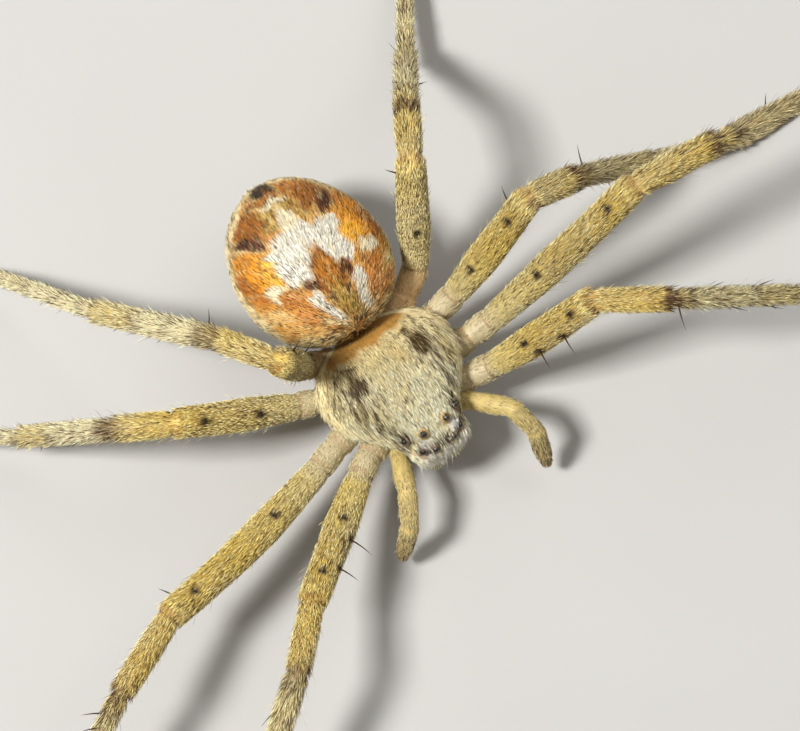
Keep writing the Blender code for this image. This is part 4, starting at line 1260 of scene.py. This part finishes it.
# Spines, fangs and claws: hard black-brown cuticle. The spines stand up in sockets on
# the legs, the fangs fold in below the jaws, and two claws end each foot.
FANG_PATH = ((0.17, -1.14, 0.60), (0.12, -1.10, 0.48), (0.04, -1.00, 0.46))
FANG_MARKS, FANG_RADII = (0, 1, 2), (0.05, 0.045, 0.010)
FANG_BENDS, FANG_SIDES = (0.10, 0.04, 0.02), 12
CLAW_LENGTH, CLAW_RADIUS, CLAW_CURL, CLAW_APART = 0.11, 0.014, 0.35, 0.03
SPINE_TINTS, FANG_TINTS = ((24, 17, 14), (62, 42, 28)), ((58, 30, 18), (104, 60, 34))
SPINE_RADIUS, SPINE_CURL, SPINE_SUNK = 0.017, 0.12, 0.02
# Length and lean of a spine under the leg and of one on top of the femur
UNDER_SPINE, FEMUR_SPINE = (0.30, 0.8), (0.26, 0.35)
# Spines of each leg: mark, turn from the upper side, length and lean
SPINE_SPOTS = {
    "leg_left_1": ((4.03, 0.23, 0.50, -0.05), (4.28, -0.20, 0.40, 2.2), (4.62, -0.20, 0.50, 2.2),
                   (4.40, 0.24, 0.45, 2.4), (4.66, 0.25, 0.50, 2.8)),
    "leg_left_2": ((4.35, -0.25, 0.35, 0.5), (4.75, 0.25, 0.35, 0.5)),
    "leg_left_3": ((2.88, -0.24, 0.30, 0.4), (3.0, 0.22, 0.30, 1.8), (4.12, -0.22, 0.45, 0.1)),
    "leg_left_4": ((2.90, -0.24, 0.28, 0.4), (4.35, 0.25, 0.35, 0.6)),
    "leg_right_1": ((4.30, -0.25, 0.32, 2.0), (4.62, 0.22, 0.42, 0.6)),
    "leg_right_2": ((2.92, -0.24, 0.28, 0.4), (4.14, -0.22, 0.40, 0.4), (4.20, -0.10, 0.40, 0.4)),
    "leg_right_3": ((4.35, 0.24, 0.26, 2.0),),
    "leg_right_4": ((4.08, -0.22, 0.34, 0.2),),
}
UNDER_SPINES = ((4.45, 0.40), (4.45, -0.40), (4.80, 0.40), (4.80, -0.40),
                (5.20, 0.42), (5.20, -0.42), (5.55, 0.42), (5.55, -0.42))


def thorn(start, way, up, length, radius, curl, sides=7, steps=7):
    """A curved spike from a place on the skin, thinning to its point."""
    t = np.linspace(0, 1, steps)
    start, way, up = (np.asarray(v, float) for v in (start, way, up))
    middle = start + np.outer(t * length, way) + np.outer(curl * length * t * t, up)
    size = radius * (1 - 0.92 * t ** 1.5)
    shell("thorn", round_rings(middle, size, np.cross(way, up), up, sides), t)


def femur_spine(share, turn):
    """Place, length and lean of the spine in a socket; those low in front are longer."""
    longer = 1 + 9 * max(turn - 0.07, 0)
    return 2 + share, turn, FEMUR_SPINE[0] * longer, FEMUR_SPINE[1] - 4 * turn * (turn < 0.1)


shells.clear()
for name in LEGS:
    path, ways, ups, fronts, marks, radii = limbs[name]
    places = [femur_spine(*spot) for spot in FEMUR_SPOTS[name]]
    places += [(*spot, *UNDER_SPINE) for spot in UNDER_SPINES] + list(SPINE_SPOTS[name])
    for mark, turn, length, lean in places:
        k = int(np.argmin(np.abs(marks - mark)))
        a = 2 * math.pi * turn
        out = ups[k] * math.cos(a) + fronts[k] * math.sin(a)
        way = out + ways[k] * lean * (0.8 + 0.4 * chance.random())
        way /= np.linalg.norm(way)
        up = ways[k] - way * np.dot(ways[k], way)
        up /= np.linalg.norm(up)
        root = path[k] + out * (radii[k] - SPINE_SUNK)
        length = length * (0.85 + 0.3 * chance.random())
        thorn(root, way, up, length, SPINE_RADIUS, SPINE_CURL)
spine_finish = glossy("black spine", SPINE_TINTS, 0.3, 0.2)
place_piece("spines", joined(shells, "spines"), spine_finish)

shells.clear()
for word, side in SIDES:
    mouth_tube("fang", FANG_PATH, side, FANG_BENDS, FANG_MARKS, FANG_RADII, FANG_SIDES)
for name in LEGS:
    path, ways, ups, fronts, marks, radii = limbs[name]
    for side in (-1, 1):
        root = path[-1] + ways[-1] * radii[-1] * 0.5 + fronts[-1] * CLAW_APART * side
        thorn(root, ways[-1], -ups[-1], CLAW_LENGTH, CLAW_RADIUS, CLAW_CURL)
fang_finish = glossy("brown fang and claw", FANG_TINTS, 0.2, 0.4)
place_piece("fangs_and_claws", joined(shells, "fangs_and_claws"), fang_finish)

# Floor, light and camera: a plain pale board under one soft lamp from the left of
# the picture, with a weak fill, seen from the photograph's steep angle.
AZIMUTH, ELEVATION = -34.4, 76.0
TARGET, TARGET_PIXEL, DISTANCE = (0.0, 0.0, 1.4), (403.0, 393.0), 110.0
PICTURE, FOCAL_PIXELS, SENSOR = (800, 731), 6050.0, 36.0
FLOOR_SIZE, BOARD_TINTS = 0.6, ((172, 170, 166), (180, 178, 174))

floor_mesh = bpy.data.meshes.new("floor")
half = FLOOR_SIZE / 2
floor_mesh.from_pydata([(-half, -half, 0), (half, -half, 0), (half, half, 0), (-half, half, 0)], [],
                       [(0, 1, 2, 3)])
floor = bpy.data.objects.new("floor", floor_mesh)
bench.objects.link(floor)
board, board_tree, shader = new_material("pale board")
board_tint = two_tints(board_tree, noise(board_tree, 160.0), BOARD_TINTS)
feed(board_tree, shader, {"Base Color": board_tint, "Roughness": 0.8})
floor_mesh.materials.append(board)


def lamp(name, spot, power, size):
    """A square soft lamp at a place in millimetres that looks at the spider."""
    data = bpy.data.lights.new(name, "AREA")
    data.energy, data.size = power, size
    made = bpy.data.objects.new(name, data)
    spot = Vector(spot) * MILLIMETRE
    aim = (-spot).to_track_quat("-Z", "Y").to_matrix().to_4x4()
    made.matrix_world = Matrix.Translation(spot) @ aim
    bench.objects.link(made)


lamp("key", (-85.0, 30.0, 140.0), 0.40, 0.034)
lamp("fill", (110.0, 40.0, 110.0), 0.11, 0.14)
world = bpy.data.worlds.new("studio")
bpy.context.scene.world = world
world.use_nodes = True
sky = {"Color": (1.0, 0.98, 0.95, 1), "Strength": 0.27}
feed(world.node_tree, world.node_tree.nodes["Background"], sky)

turn, rise = math.radians(AZIMUTH), math.radians(ELEVATION)
back = Vector((math.sin(turn) * math.cos(rise), -math.cos(turn) * math.cos(rise), math.sin(rise)))
right = Vector((math.cos(turn), math.sin(turn), 0.0))
up = back.cross(right)
offset = (PICTURE[0] / 2 - TARGET_PIXEL[0]) / FOCAL_PIXELS * right
offset -= (PICTURE[1] / 2 - TARGET_PIXEL[1]) / FOCAL_PIXELS * up
eye = Vector(TARGET) - Vector(STAND_CENTRE) + (back + offset) * DISTANCE
data = bpy.data.cameras.new("camera")
data.sensor_width, data.lens = SENSOR, FOCAL_PIXELS / PICTURE[0] * SENSOR
data.clip_start, data.clip_end = 0.005, 5.0
camera = bpy.data.objects.new("camera", data)
turned_to = Matrix((right, up, back)).transposed().to_4x4()
camera.matrix_world = Matrix.Translation(eye * MILLIMETRE) @ turned_to
bench.objects.link(camera)
bpy.context.scene.camera = camera
bpy.context.scene.view_settings.view_transform = "Standard"
